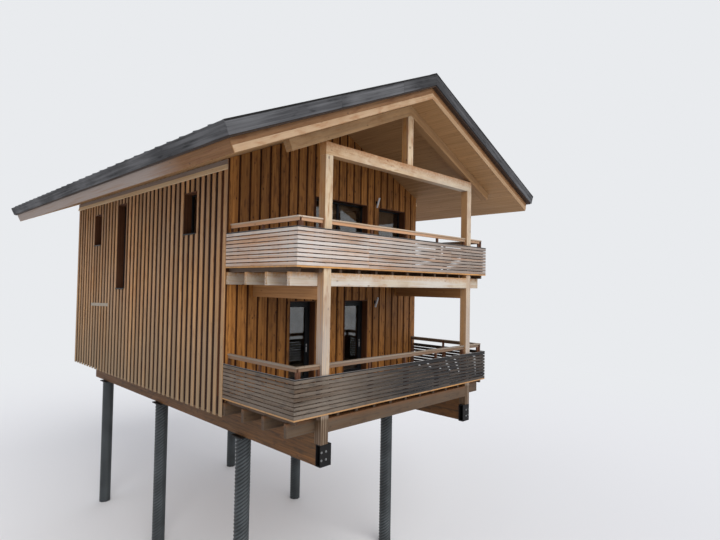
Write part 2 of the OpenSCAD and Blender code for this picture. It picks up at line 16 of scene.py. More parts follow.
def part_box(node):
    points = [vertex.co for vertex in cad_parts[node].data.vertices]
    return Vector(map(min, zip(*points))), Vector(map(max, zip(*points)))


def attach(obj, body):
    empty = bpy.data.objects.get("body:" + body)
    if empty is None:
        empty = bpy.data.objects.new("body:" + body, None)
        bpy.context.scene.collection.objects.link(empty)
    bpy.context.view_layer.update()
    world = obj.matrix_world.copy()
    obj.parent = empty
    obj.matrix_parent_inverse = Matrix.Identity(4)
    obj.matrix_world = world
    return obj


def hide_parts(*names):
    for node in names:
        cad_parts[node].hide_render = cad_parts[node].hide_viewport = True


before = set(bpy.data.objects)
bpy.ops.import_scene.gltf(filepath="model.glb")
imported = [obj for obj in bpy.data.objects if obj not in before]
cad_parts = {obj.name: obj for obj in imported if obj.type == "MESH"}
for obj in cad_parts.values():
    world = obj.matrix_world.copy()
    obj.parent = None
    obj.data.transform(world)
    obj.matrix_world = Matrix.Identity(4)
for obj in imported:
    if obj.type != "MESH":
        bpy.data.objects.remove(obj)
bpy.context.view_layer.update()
LOG = logging.getLogger("chalet")
HOUSE = "house"
PITCH = math.radians(24.0)
SLOPE = math.tan(PITCH)
# Eased edges: posts and large beams, lighter beams, boards, frames and fittings, thin parts
HEAVY_EDGE, BEAM_EDGE, EDGE, SMALL_EDGE, FINE_EDGE = 0.006, 0.005, 0.003, 0.002, 0.0015
# Half a joint between boards, the room under the soffit, and the shortest part of a board
JOINT, CLEAR, SHORTEST = 0.001, 0.002, 0.01
# What counts as the same place, as one vertex, as one plane and as a sharp edge
TOUCH, MERGE, FLAT, SHARP = 0.0001, 0.00002, math.radians(1.0), math.radians(25.0)
Box = tuple[Vector, Vector]
Span = tuple[float, float]
Outline = tuple[float, float, float, float]
Value = Union[Node, NodeSocket, float, Sequence[float]]


def linear(code: str) -> tuple[float, ...]:
    """Turns an sRGB hex colour such as "#c9a36b" into linear red, green, blue and alpha."""
    parts = [int(code[i:i + 2], 16) / 255 for i in (1, 3, 5)]
    rgb = [c / 12.92 if c <= 0.04045 else ((c + 0.055) / 1.055) ** 2.4 for c in parts]
    return *rgb, 1.0


def add(tree: NodeTree, kind: str, inputs: Union[dict, Sequence] = (), **settings: object) -> Node:
    """Adds a shader node with its settings, and links or sets its inputs.

    Args:
        tree: The node tree of a material or the world.
        kind: The node's type without its ShaderNode prefix.
        inputs: Plain values, sockets, or nodes that give their first live output, in the
            order of the node's inputs or by their name or number.
        **settings: Attributes of the node.

    Returns:
        The new node.
    """
    node = tree.nodes.new("ShaderNode" + kind)
    for name, value in settings.items():
        setattr(node, name, value)
    for name, value in inputs.items() if isinstance(inputs, dict) else enumerate(inputs):
        if isinstance(value, Node):
            value = next(socket for socket in value.outputs if socket.enabled)
        if isinstance(value, NodeSocket):
            tree.links.new(value, node.inputs[name])
        else:
            node.inputs[name].default_value = value
    return node


def empty_tree(owner: Union[Material, World]) -> NodeTree:
    """Gives a material or world a node tree with nothing in it."""
    owner.use_nodes = True
    owner.node_tree.nodes.clear()
    return owner.node_tree


class Grain(Enum):
    """The direction of the wood's fibres."""

    ACROSS = "x"
    ALONG = "y"
    UPRIGHT = "z"
    RAFTER = "rafter"
    SOFFIT = "soffit"


@dataclass(frozen=True)
class Datum:
    """Levels and faces of the house, read from the frame's nodes, in metres."""

    ridge_x: float
    ridge_z: float
    soffit_z: float
    left_x: float
    right_x: float
    front_y: float
    rear_y: float
    wall_foot: float
    lower_floor: float
    upper_floor: float

    @classmethod
    def read(cls) -> "Datum":
        """Reads the faces from the boxes of the nodes."""
        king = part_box("king_post")
        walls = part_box("left_wall"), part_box("right_wall")
        return cls(
            ridge_x=(king[0].x + king[1].x) / 2,
            ridge_z=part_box("roof_slope_left")[1].z,
            soffit_z=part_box("gable_rafters")[1].z,
            left_x=walls[0][0].x,
            right_x=walls[1][1].x,
            front_y=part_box("upper_front_wall")[0].y,
            rear_y=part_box("rear_wall")[1].y,
            wall_foot=walls[0][0].z,
            lower_floor=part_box("lower_deck")[1].z,
            upper_floor=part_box("upper_deck")[1].z,
        )

    def soffit(self, x: float) -> float:
        """Height of the soffit at x."""
        return self.soffit_z - SLOPE * abs(x - self.ridge_x)


AT = Datum.read()


# Finishes


@dataclass(frozen=True)
class Finish:
    """A material; each kind of finish says what goes into its shader."""

    name: str

    @cache
    def build(self) -> Material:
        """Makes the material, once."""
        material = bpy.data.materials.new(self.name)
        tree = empty_tree(material)
        place = add(tree, "TexCoord").outputs["Object"]
        add(tree, "OutputMaterial", [add(tree, "BsdfPrincipled", self.surface(tree, place))])
        return material

    def surface(self, tree: NodeTree, place: NodeSocket) -> dict[str, Value]:
        """Adds the nodes of this finish.

        Args:
            tree: The material's node tree.
            place: The Object coordinates.

        Returns:
            What goes into the shader's inputs.
        """
        raise NotImplementedError


@dataclass(frozen=True)
class Drift:
    """A change of colour that grows along x (0), y (1) or z (2), from start to end."""

    axis: int
    code: str
    start: float
    end: float
    share: float
    sheltered: bool = False


@dataclass(frozen=True)
class Wood(Finish):
    """Planed or sawn softwood: fibres, growth rings, knots, weathering and glue lines."""

    early: str
    late: str
    grain: Grain
    knot: str = "#5a3a20"
    greyed: str = "#a9a49c"
    grey_share: float = 0.0
    tone_spread: float = 0.22
    knot_share: float = 0.5
    lamella: float = 0.0
    roughness: float = 0.62
    stain: Optional[tuple[str, float, float]] = None
    bleached: Optional[tuple[str, float]] = None
    blotch: Optional[tuple[str, float]] = None
    silver: Optional[tuple[str, float]] = None
    drifts: tuple[Drift, ...] = ()

    def surface(self, tree: NodeTree, place: NodeSocket) -> dict[str, Value]:
        """Adds the wood's figure, the tone of each board and the layers over it."""
        xyz = add(tree, "SeparateXYZ", [place]).outputs
        board = add(tree, "Attribute", attribute_name="board").outputs["Fac"]
        along, side, over = self._axes(tree, xyz)
        # Each board comes from another place of the log, so that no two look alike
        along, side = [add(tree, "Math", [board, jump, way], operation="MULTIPLY_ADD")
                       for jump, way in ((31.0, along), (11.0, side))]
        log = add(tree, "CombineXYZ", [along, side, over])
        fields = []
        # Fibres 7 mm apart, streaks about 45 mm wide and bands of growth rings 110 mm wide
        for run, width, detail in ((1.4, 140.0, 3.0), (0.5, 22.0, 4.0), (0.22, 9.0, 2.0)):
            scaled = add(tree, "VectorMath", [log, (run, width, width)], operation="MULTIPLY")
            noise = add(tree, "TexNoise", {"Vector": scaled, "Detail": detail, "Scale": 1.0})
            fields.append(add(tree, "MapRange", [noise, 0.3, 0.7]))
        fibre, streak, bands = fields
        rings = add(tree, "Math", [add(tree, "Math", [bands, 6.0], operation="MULTIPLY"), 1.0],
                    operation="PINGPONG")
        figure: Value = 0.0
        for part, share in ((fibre, 0.25), (streak, 0.45), (rings, 0.3)):
            figure = add(tree, "Math", [part, share, figure], operation="MULTIPLY_ADD")
        colour = add(tree, "Mix", {0: figure, 6: linear(self.early), 7: linear(self.late)},
                     data_type="RGBA")
        # A board or glued lamella has its own lightness
        value = board
        if self.lamella:
            row = add(tree, "Math", [over, self.lamella], operation="DIVIDE")
            value = add(tree, "TexWhiteNoise", {"W": add(tree, "Math", [row], operation="FLOOR")},
                        noise_dimensions="1D")
        tone = add(tree, "Math", [value, self.tone_spread, 1.0 - self.tone_spread / 2],
                   operation="MULTIPLY_ADD")
        colour = add(tree, "HueSaturation", {"Color": colour, "Value": tone})
        for layers in (self._glue(tree, over), self._bleach(tree, board, streak, place),
                       self._growth(tree, log), self._weather(tree, streak, place, xyz)):
            for share, code in layers:
                colour = add(tree, "Mix", {0: share, 6: colour, 7: linear(code)},
                             data_type="RGBA")
        relief = add(tree, "Math", [fibre, rings], operation="ADD")
        return {"Base Color": colour,
                "Roughness": add(tree, "Math", [streak, 0.2, self.roughness - 0.1],
                                 operation="MULTIPLY_ADD"),
                "Normal": add(tree, "Bump", {"Height": relief, "Strength": 0.55,
                                             "Distance": 0.0012}),
                "Specular IOR Level": 0.32}

    def _axes(self, tree: NodeTree, xyz: Sequence[NodeSocket]) -> tuple[Value, Value, Value]:
        """Gives the place along the fibres, across them and over them."""
        order = {Grain.ACROSS: (0, 1, 2), Grain.ALONG: (1, 0, 2), Grain.UPRIGHT: (2, 0, 1)}
        if self.grain in order:
            return tuple(xyz[i] for i in order[self.grain])
        off = add(tree, "Math", [xyz[0], AT.ridge_x], operation="SUBTRACT")
        reach = add(tree, "Math", [off], operation="ABSOLUTE")
        cosine, sine = math.cos(PITCH), math.sin(PITCH)
        down, proud = [
            add(tree, "Math", [reach, level, add(tree, "Math", [xyz[2], rise],
                                                 operation="MULTIPLY")],
                operation="MULTIPLY_ADD") for level, rise in ((cosine, -sine), (sine, cosine))]
        return (down, xyz[1], proud) if self.grain is Grain.RAFTER else (xyz[1], proud, down)

    def _glue(self, tree: NodeTree, over: Value) -> Iterator[tuple[Node, str]]:
        """Gives the share and colour of the glue lines."""
        if self.lamella:
            row = add(tree, "Math", [over, self.lamella], operation="DIVIDE")
            edge = add(tree, "Math", [row, 1.0], operation="FLOORED_MODULO")
            # The glue line is 2 mm wide, drawn at 3 mm so that it shows
            line = add(tree, "Math", [edge, 0.003 / self.lamella], operation="LESS_THAN")
            yield add(tree, "Math", [line, 0.35], operation="MULTIPLY"), self.knot

    def _bleach(self, tree: NodeTree, board: NodeSocket, streak: Node,
                place: NodeSocket) -> Iterator[tuple[Node, str]]:
        """Gives the paler layers of faces in the open weather and of silvered boards."""
        if self.bleached:
            code, most = self.bleached
            bare = add(tree, "Attribute", attribute_name="weather").outputs["Fac"]
            cloud = add(tree, "TexNoise", {"Vector": place, "Scale": 1.7, "Detail": 5.0})
            both = add(tree, "Math", [streak, -0.2, cloud], operation="MULTIPLY_ADD")
            share = add(tree, "MapRange", [both, 0.25, 0.52, most * 0.45, most])
            yield add(tree, "Math", [share, bare], operation="MULTIPLY"), code
        if self.silver:
            code, most = self.silver
            draw = add(tree, "TexWhiteNoise", {"W": board}, noise_dimensions="1D")
            yield add(tree, "MapRange", [draw, 0.25, 0.9, 0.0, most]), code

    def _growth(self, tree: NodeTree, log: Node) -> Iterator[tuple[Node, str]]:
        """Gives the resinous patches, 60 by 300 mm, and the knots, about 30 mm across."""
        if self.blotch:
            code, most = self.blotch
            scaled = add(tree, "VectorMath", [log, (3.0, 13.0, 13.0)], operation="MULTIPLY")
            cloud = add(tree, "TexNoise", {"Vector": scaled, "Scale": 1.0, "Detail": 4.0})
            yield add(tree, "MapRange", [cloud, 0.52, 0.68, 0.0, most]), code
        scaled = add(tree, "VectorMath", [log, (2.8, 5.5, 5.5)], operation="MULTIPLY")
        near = add(tree, "TexVoronoi", {"Vector": scaled, "Scale": 1.0}).outputs["Distance"]
        yield add(tree, "MapRange", [near, 0.07, 0.13, self.knot_share, 0.0]), self.knot

    def _weather(self, tree: NodeTree, streak: Node, place: NodeSocket,
                 xyz: Sequence[NodeSocket]) -> Iterator[tuple[Node, str]]:
        """Gives soft grey patches, changes towards one end, and an upper edge's stain."""
        if self.grey_share:
            patch = add(tree, "TexNoise", {"Vector": place, "Scale": 0.55, "Detail": 3.0})
            both = add(tree, "Math", [streak, 0.5, patch], operation="MULTIPLY_ADD")
            yield add(tree, "MapRange", [both, 0.6, 0.95, 0.0, self.grey_share]), self.greyed
        for drift in self.drifts:
            way = add(tree, "MapRange", [xyz[drift.axis], drift.start, drift.end, 0.0,
                                         drift.share * 1.25])
            uneven = add(tree, "Math", [streak, 0.8, 0.45], operation="MULTIPLY_ADD")
            share = add(tree, "Math", [way, uneven], operation="MULTIPLY", use_clamp=True)
            if drift.sheltered:
                bare = add(tree, "Attribute", attribute_name="weather").outputs["Fac"]
                dry = add(tree, "Math", [1.0, bare], operation="SUBTRACT")
                share = add(tree, "Math", [share, dry], operation="MULTIPLY")
            yield share, drift.code
        if self.stain:
            code, top, depth = self.stain
            near = add(tree, "MapRange", [xyz[2], top - depth, top])
            drip = add(tree, "TexNoise", {"Vector": place, "Scale": 18.0, "Detail": 6.0,
                                          "Roughness": 0.7})
            marked = add(tree, "Math", [near, drip], operation="MULTIPLY")
            yield add(tree, "MapRange", [marked, 0.2, 0.5, 0.0, 0.75]), code


@dataclass(frozen=True)
class Metal(Finish):
    """Coated or bare metal with fine unevenness and a little dust."""

    colour: str
    dust: str
    metallic: float
    roughness: float
    grit: float = 60.0
    sheen: float = 0.5

    def surface(self, tree: NodeTree, place: NodeSocket) -> dict[str, Value]:
        """Adds dust in soft clouds and a fine grit."""
        cloud = add(tree, "TexNoise", {"Vector": place, "Scale": 2.3, "Detail": 5.0})
        grit = add(tree, "TexNoise", {"Vector": place, "Scale": self.grit, "Detail": 2.0})
        share = add(tree, "MapRange", [cloud, 0.45, 0.75, 0.0, 0.25])
        return {"Base Color": add(tree, "Mix", {0: share, 6: linear(self.colour),
                                                7: linear(self.dust)}, data_type="RGBA"),
                "Roughness": add(tree, "Math", [cloud, 0.2, self.roughness - 0.1],
                                 operation="MULTIPLY_ADD"),
                "Normal": add(tree, "Bump", {"Height": grit, "Strength": 0.25,
                                             "Distance": 0.0006}),
                "Metallic": self.metallic, "Specular IOR Level": self.sheen}


@dataclass(frozen=True)
class Zinc(Finish):
    """Galvanised steel: dull crystals 15 to 30 mm wide under a grey film."""

    pale: str
    dark: str
    valley_tone: str
    valley: float = 0.85

    def surface(self, tree: NodeTree, place: NodeSocket) -> dict[str, Value]:
        """Adds crystals and clouds, and a darker tone in the valleys between the ribs."""
        crystal = add(tree, "TexVoronoi", {"Vector": place, "Scale": 45.0}).outputs["Color"]
        cloud = add(tree, "TexNoise", {"Vector": place, "Scale": 1.6, "Detail": 5.0})
        film = add(tree, "Math", [cloud, 1.1, -0.25], operation="MULTIPLY_ADD")
        shade = add(tree, "Math", [crystal, 0.3, film], operation="MULTIPLY_ADD")
        rib = add(tree, "Attribute", attribute_name="valley").outputs["Fac"]
        marked = add(tree, "Math", [rib, self.valley], operation="MULTIPLY")
        colour: Value = linear(self.dark)
        for share, code in ((shade, self.pale), (marked, self.valley_tone)):
            colour = add(tree, "Mix", {0: share, 6: colour, 7: linear(code)}, data_type="RGBA")
        return {"Base Color": colour,
                "Roughness": add(tree, "Math", [crystal, 0.15, 0.42], operation="MULTIPLY_ADD"),
                "Normal": add(tree, "Bump", {"Height": cloud, "Strength": 0.2,
                                             "Distance": 0.002}), "Metallic": 0.4}


@dataclass(frozen=True)
class Glazing(Finish):
    """Insulating glass, clear, whose coating mirrors a little more than plain glass."""

    tint: str
    ior: float

    def surface(self, tree: NodeTree, place: NodeSocket) -> dict[str, Value]:
        """Adds the faint waves of a pane, a fraction of a millimetre over half a metre."""
        wave = add(tree, "TexNoise", {"Vector": place, "Scale": 2.0, "Detail": 1.0})
        return {"Base Color": add(tree, "Mix", {0: wave, 6: linear(self.tint),
                                                7: linear("#ffffff")}, data_type="RGBA"),
                "Roughness": 0.02, "IOR": self.ior, "Transmission Weight": 1.0,
                "Normal": add(tree, "Bump", {"Height": wave, "Strength": 0.12,
                                             "Distance": 0.001})}


@dataclass(frozen=True)
class WallCore(Finish):
    """Wall under the cover boards: base boards painted dark as shade, and spruce panels inside."""

    base: str
    shade: str
    panel: str = "#94744e"
    panel_shade: str = "#7a5a38"
    skin: float = 0.3

    def surface(self, tree: NodeTree, place: NodeSocket) -> dict[str, Value]:
        """Adds the boards, and the panels wherever a face is well inside the outer skin."""
        xyz = add(tree, "SeparateXYZ", [place]).outputs
        middle = (AT.front_y + AT.rear_y) / 2
        inside: Value = 1.0
        for axis, centre, half in ((0, AT.ridge_x, AT.right_x - AT.ridge_x),
                                   (1, middle, AT.rear_y - middle)):
            off = add(tree, "Math", [add(tree, "Math", [xyz[axis], centre],
                                         operation="SUBTRACT")], operation="ABSOLUTE")
            near = add(tree, "Math", [off, half - self.skin], operation="LESS_THAN")
            inside = add(tree, "Math", [near, inside], operation="MULTIPLY")
        scaled = add(tree, "Mapping", {"Vector": place, "Scale": (20.0, 20.0, 0.8)})
        grain = add(tree, "TexNoise", {"Vector": scaled, "Scale": 1.0, "Detail": 4.0})
        boards, panels = [
            add(tree, "Mix", {0: grain, 6: linear(pale), 7: linear(dark)}, data_type="RGBA")
            for pale, dark in ((self.base, self.shade), (self.panel, self.panel_shade))]
        return {"Base Color": add(tree, "Mix", {0: inside, 6: boards, 7: panels},
                                  data_type="RGBA"),
                "Roughness": 0.8, "Specular IOR Level": 0.2}


class Finishes:
    """All finishes of the house."""

    def __init__(self) -> None:
        """Mixes every finish."""
        across, along, upright, rafter = Grain.ACROSS, Grain.ALONG, Grain.UPRIGHT, Grain.RAFTER
        ridge, lower, upper = AT.ridge_x, AT.lower_floor, AT.upper_floor
        glulam = 0.0405
        # Planed glued spruce: orange-brown where sheltered, bleached to cream in the weather,
        # with resinous patches and knots
        spruce = dict(early="#bd8f58", late="#84562a", knot="#4c2b14", greyed="#cfc9bd",
                      grey_share=0.2, bleached=("#dac6a5", 0.78), blotch=("#9a6029", 0.7),
                      knot_share=0.9)
        # The posts grey towards the foot and turn dark brown below the lower floor; the right
        # one's sheltered faces stay brown
        self.spruce_post = Wood(
            "spruce glulam upright", grain=upright, lamella=0.107, **spruce,
            drifts=(Drift(2, "#a89b90", upper, lower + 1.5, 0.72),
                    Drift(0, "#a79c92", ridge + 1.0, ridge + 2.0, 0.35),
                    Drift(0, "#b0865a", ridge + 1.0, ridge + 2.0, 0.85, True),
                    Drift(2, "#54402c", lower + 0.02, lower - 0.16, 0.95)))
        self.spruce_beam = Wood(
            "spruce glulam level", grain=across, lamella=glulam, **spruce,
            stain=("#96602f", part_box("tie_beam")[1].z, 0.3),
            drifts=(Drift(0, "#bfb3a0", ridge - 1.0, ridge + 1.5, 0.55),
                    Drift(0, "#b98a56", ridge - 1.6, ridge - 2.8, 0.45)))
        self.spruce_rafter = Wood(
            "spruce glulam sloping", "#a67d4d", "#78532b", rafter, "#4a2b15", "#b39e80", 0.2,
            lamella=glulam, bleached=("#c6a47a", 0.6), blotch=("#8f5b2e", 0.5),
            drifts=(Drift(0, "#94704b", ridge, ridge + 0.3, 0.7),))
        # The balconies' front beams: the upper one has bleached, with rusty water stains at
        # the top, and the lower one is painted dark brown as painted shade
        self.bleached_upper = Wood(
            "bleached spruce glulam upper", "#b0906b", "#8a673f", across, "#5d3519", "#cdc8bf",
            0.7, lamella=glulam, knot_share=0.85, bleached=("#c6baa6", 0.88),
            blotch=("#a66f3c", 0.4), stain=("#a9732f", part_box("upper_balcony_beams")[1].z, 0.24))
        # The lower beam's dark browns are painted shade
        self.shaded_glulam_lower = Wood(
            "painted shade glulam lower", "#553e2a", "#352415", across, "#20140c", "#685c4e",
            0.35, lamella=glulam, bleached=("#644f38", 0.4), blotch=("#2e1d10", 0.5),
            stain=("#6a4526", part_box("lower_balcony_beams")[1].z, 0.16))
        # The beams along the upper balcony's sides, plain and sheltered
        self.side_beam = Wood("spruce side beam", "#a97a4a", "#7f5530", along, lamella=glulam)
        # Stained glued spruce, brown, wet in patches
        self.stained = Wood("brown stained glulam", "#7a4e22", "#41290f", along, "#1c1008",
                            "#655642", 0.2, blotch=("#281809", 0.6), lamella=glulam)
        # Larch boards: strong orange-brown with dark late wood
        self.larch_board = Wood("larch boards", "#bf823f", "#673a12", upright, "#2f1608",
                                tone_spread=0.42, blotch=("#4e2b0e", 0.6), knot_share=0.8)
        # The same larch in the shade of reveals and recesses
        self.larch_reveal = Wood("larch reveal boards", "#6b4226", "#472814", upright, "#24120a")
        # Sawn larch cover boards, sun-browned, greyer low on the wall
        self.larch_cover = Wood(
            "sawn larch cover boards", "#cb9f6e", "#90623a", upright, "#402614", "#a5937f", 0.4,
            tone_spread=0.5, roughness=0.75, blotch=("#8f5526", 0.5),
            drifts=(Drift(2, "#8a765c", lower + 2.6, AT.wall_foot, 0.8),))
        # Undersides of the slats, painted dark as the shade in the narrow gaps
        self.slat_shade = Wood("painted slat shade", "#2b1f15", "#18100a", across, "#0e0905")
        # The handrails' small posts and fins, painted dark as the shade behind the slats
        # and under the rail
        self.post_shade = Wood("painted shade rail posts", "#6b452e", "#46291a", upright, "#20120b")
        # Larch deck boards, trodden grey, whose sawn edges stay orange
        self.deck_top = Wood("trodden larch decking", "#85705a", "#5c4a38", across, "#2d2016",
                             "#8f8a80", 0.5, tone_spread=0.3)
        self.deck_edge = Wood("larch decking edge", "#d19a58", "#99652f", across, "#4f2f1a",
                              "#b5a48c", 0.3, tone_spread=0.3, blotch=("#6b4524", 0.5))
        # Joists, brown in the shade under the decks
        self.joist = Wood("spruce joists", "#5a4534", "#3b2c20", along, "#1c130d")
        # Cross-laminated spruce: boards 110 mm wide along the ridge, oiled
        self.soffit = Wood("cross-laminated spruce panel", "#b58d62", "#8f6a42", Grain.SOFFIT,
                           "#5d3d1f", tone_spread=0.13, lamella=0.11, knot_share=0.3)
        # Pale planed spruce of the wall plates and wall-top boards
        self.gable_trim = Wood("spruce trim", "#efd9b6", "#cfae80", along)
        # The panels' gable edges: a brown board, its brown partly painted shadow of the fascia
        # above, over a pale strip
        self.edge_board = Wood("painted shadow edge boards", "#8c6038", "#54341a", rafter, "#2c180d",
                               bleached=("#a07a55", 0.5), blotch=("#6b3d1c", 0.6))
        self.edge_strip = Wood(
            "bleached edge strips", "#a98259", "#7b5733", rafter, "#51341d",
            bleached=("#bda182", 0.8), blotch=("#925c2e", 0.55),
            drifts=(Drift(0, "#9c7d5c", ridge, ridge + 0.3, 0.65),))
        # The same panels' ends at the eaves, brown at the front and pinkish grey behind
        self.eave_board = Wood(
            "greyed eave boards", "#8d6238", "#5d3d20", along, "#3a2212",
            blotch=("#6b3f1e", 0.5),
            drifts=(Drift(1, "#94867d", AT.front_y - 1.6, AT.front_y + 0.2, 0.95),))
        # Floor boards 140 mm wide, and upright oak boards of the entrance
        self.floor = Wood("floor boards", "#a8825a", "#7f5c3a", along, lamella=0.14)
        self.oak = Wood("oiled oak door", "#8d5f38", "#633e22", upright, tone_spread=0.3)
        # Rough-sawn boards with worn dark stain, whose raised fibres have gone grey
        slate = dict(early="#4a4a4c", late="#1f1f21", knot="#121212", greyed="#7a7a7c",
                     grey_share=0.55, tone_spread=0.3, roughness=0.85, blotch=("#1c1c1e", 0.85))
        self.slate_board = Wood("worn dark boards", grain=rafter, **slate)
        self.slate_eave = Wood("worn dark eave boards", grain=along, **slate)
        # Timber of the outer roof layers, painted dark as the shade under the sheets
        self.dark_timber = Wood("dark roof timber", "#4b382b", "#2e2119", along, "#150f0b")
        # Powder-coated aluminium with a satin, slightly pebbled skin
        self.anthracite = Metal("anthracite powder coat", "#131518", "#242628", 0.0, 0.45,
                                sheen=0.25)
        # Painted steel of shoes, plates and brackets
        self.black_steel = Metal("black coated steel", "#100f10", "#2a2622", 0.0, 0.55, sheen=0.2)
        # Coated sheet, dull from the weather
        self.roofing = Metal("dark grey roofing sheet", "#3b4045", "#5a5d5f", 0.35, 0.48, 25.0)
        # Bright rolled steel of bolts, and brushed aluminium of lamps and the lever's plate
        self.bolt_steel = Metal("zinc plated bolts", "#8b8c8c", "#6b6864", 0.7, 0.5)
        self.brushed = Metal("brushed aluminium", "#d0d2d6", "#a4a5a8", 0.6, 0.38)
        # Dull folded strip on the slats, and the plate on the left wall
        self.cap_sheet = Metal("folded zinc strip", "#7b7876", "#5a5653", 0.2, 0.6)
        self.pale_plate = Metal("bare aluminium plate", "#9c8f7d", "#82766a", 0.1, 0.55)
        # Rubber strips round the panes
        self.gasket = Metal("black rubber gasket", "#101112", "#1d1e1f", 0.0, 0.7)
        # Galvanised piles, painted darker overall as the shade of the house above them, and
        # darker still between the ribs
        self.zinc = Zinc("galvanised pile steel", "#666d70", "#1c1f20", "#131516")
        # Coated panes, slightly green
        self.glass = Glazing("insulating glass", "#b3bcbb", 1.75)
        # Base boards of the long and rear walls, painted near black as the shade between the
        # cover boards, and the redder ones of the front, whose painted shade is lighter
        self.wall_core = WallCore("wall core", "#30160a", "#190b04")
        self.front_core = WallCore("front wall core", "#4f2a12", "#331a0a")

    @staticmethod
    def slats(grain: Grain, upper: bool) -> Wood:
        """Larch slats: pinkish and silvering above, grey-brown and darker to the right below."""
        place = "along" if grain is Grain.ALONG else "across"
        middle = AT.ridge_x
        if upper:
            return Wood("upper slats " + place, "#cfa684", "#936a4d", grain, "#543322",
                        "#cdc8c2", 0.75, 0.5, silver=("#d3cbc2", 0.8), blotch=("#a06c43", 0.55),
                        drifts=(Drift(0, "#766a61", middle - 2.4, middle + 2.2, 0.7),))
        return Wood("lower slats " + place, "#604b38", "#291f16", grain, "#18110c",
                    "#857a6e", 0.5, 0.65, silver=("#74685b", 0.6), blotch=("#201813", 0.8),
                    drifts=(Drift(0, "#1c1b1c", middle - 2.6, middle - 0.35, 0.8),))

    @staticmethod
    def rails(grain: Grain, upper: bool) -> tuple[Wood, Wood]:
        """A silvered flat board and an apron board that stays more orange."""
        flat = "silvered rail boards " + grain.value
        apron = "tanned apron boards " + grain.value
        middle = AT.ridge_x
        if not upper:
            return (Wood(flat + " lower", "#978470", "#6e5d4c", grain, "#3f2d20", "#958c82", 0.6),
                    Wood(apron + " lower", "#8b6c52", "#644b37", grain, "#38251a", "#81756a",
                         0.4))
        return (Wood(flat + " upper", "#cdb294", "#a88a6a", grain, "#5f3f29", "#c9c3b8", 0.6,
                     drifts=(Drift(0, "#9b8c7b", middle, middle + 2.8, 0.6),)),
                Wood(apron + " upper", "#cf9f77", "#a97852", grain, "#5b3519", "#c5b09b", 0.4,
                     drifts=(Drift(0, "#94806b", middle, middle + 2.8, 0.6),)))


# Making of pieces


def loose_parts(bm: BMesh) -> Iterator[list[BMVert]]:
    """Gives the vertices of each part that hangs together, in the order of the mesh."""
    seen: set[BMVert] = set()
    for first in bm.verts:
        if first in seen:
            continue
        part = [first]
        seen.add(first)
        for vert in part:
            for edge in vert.link_edges:
                other = edge.other_vert(vert)
                if other not in seen:
                    seen.add(other)
                    part.append(other)
        yield part


def spot(wide: int, along: float, depth: float, z: float) -> tuple[float, float, float]:
    """Gives a point of a wall or run along x (wide 0) or y (wide 1), by its depth and height."""
    return (along, depth, z) if wide == 0 else (depth, along, z)


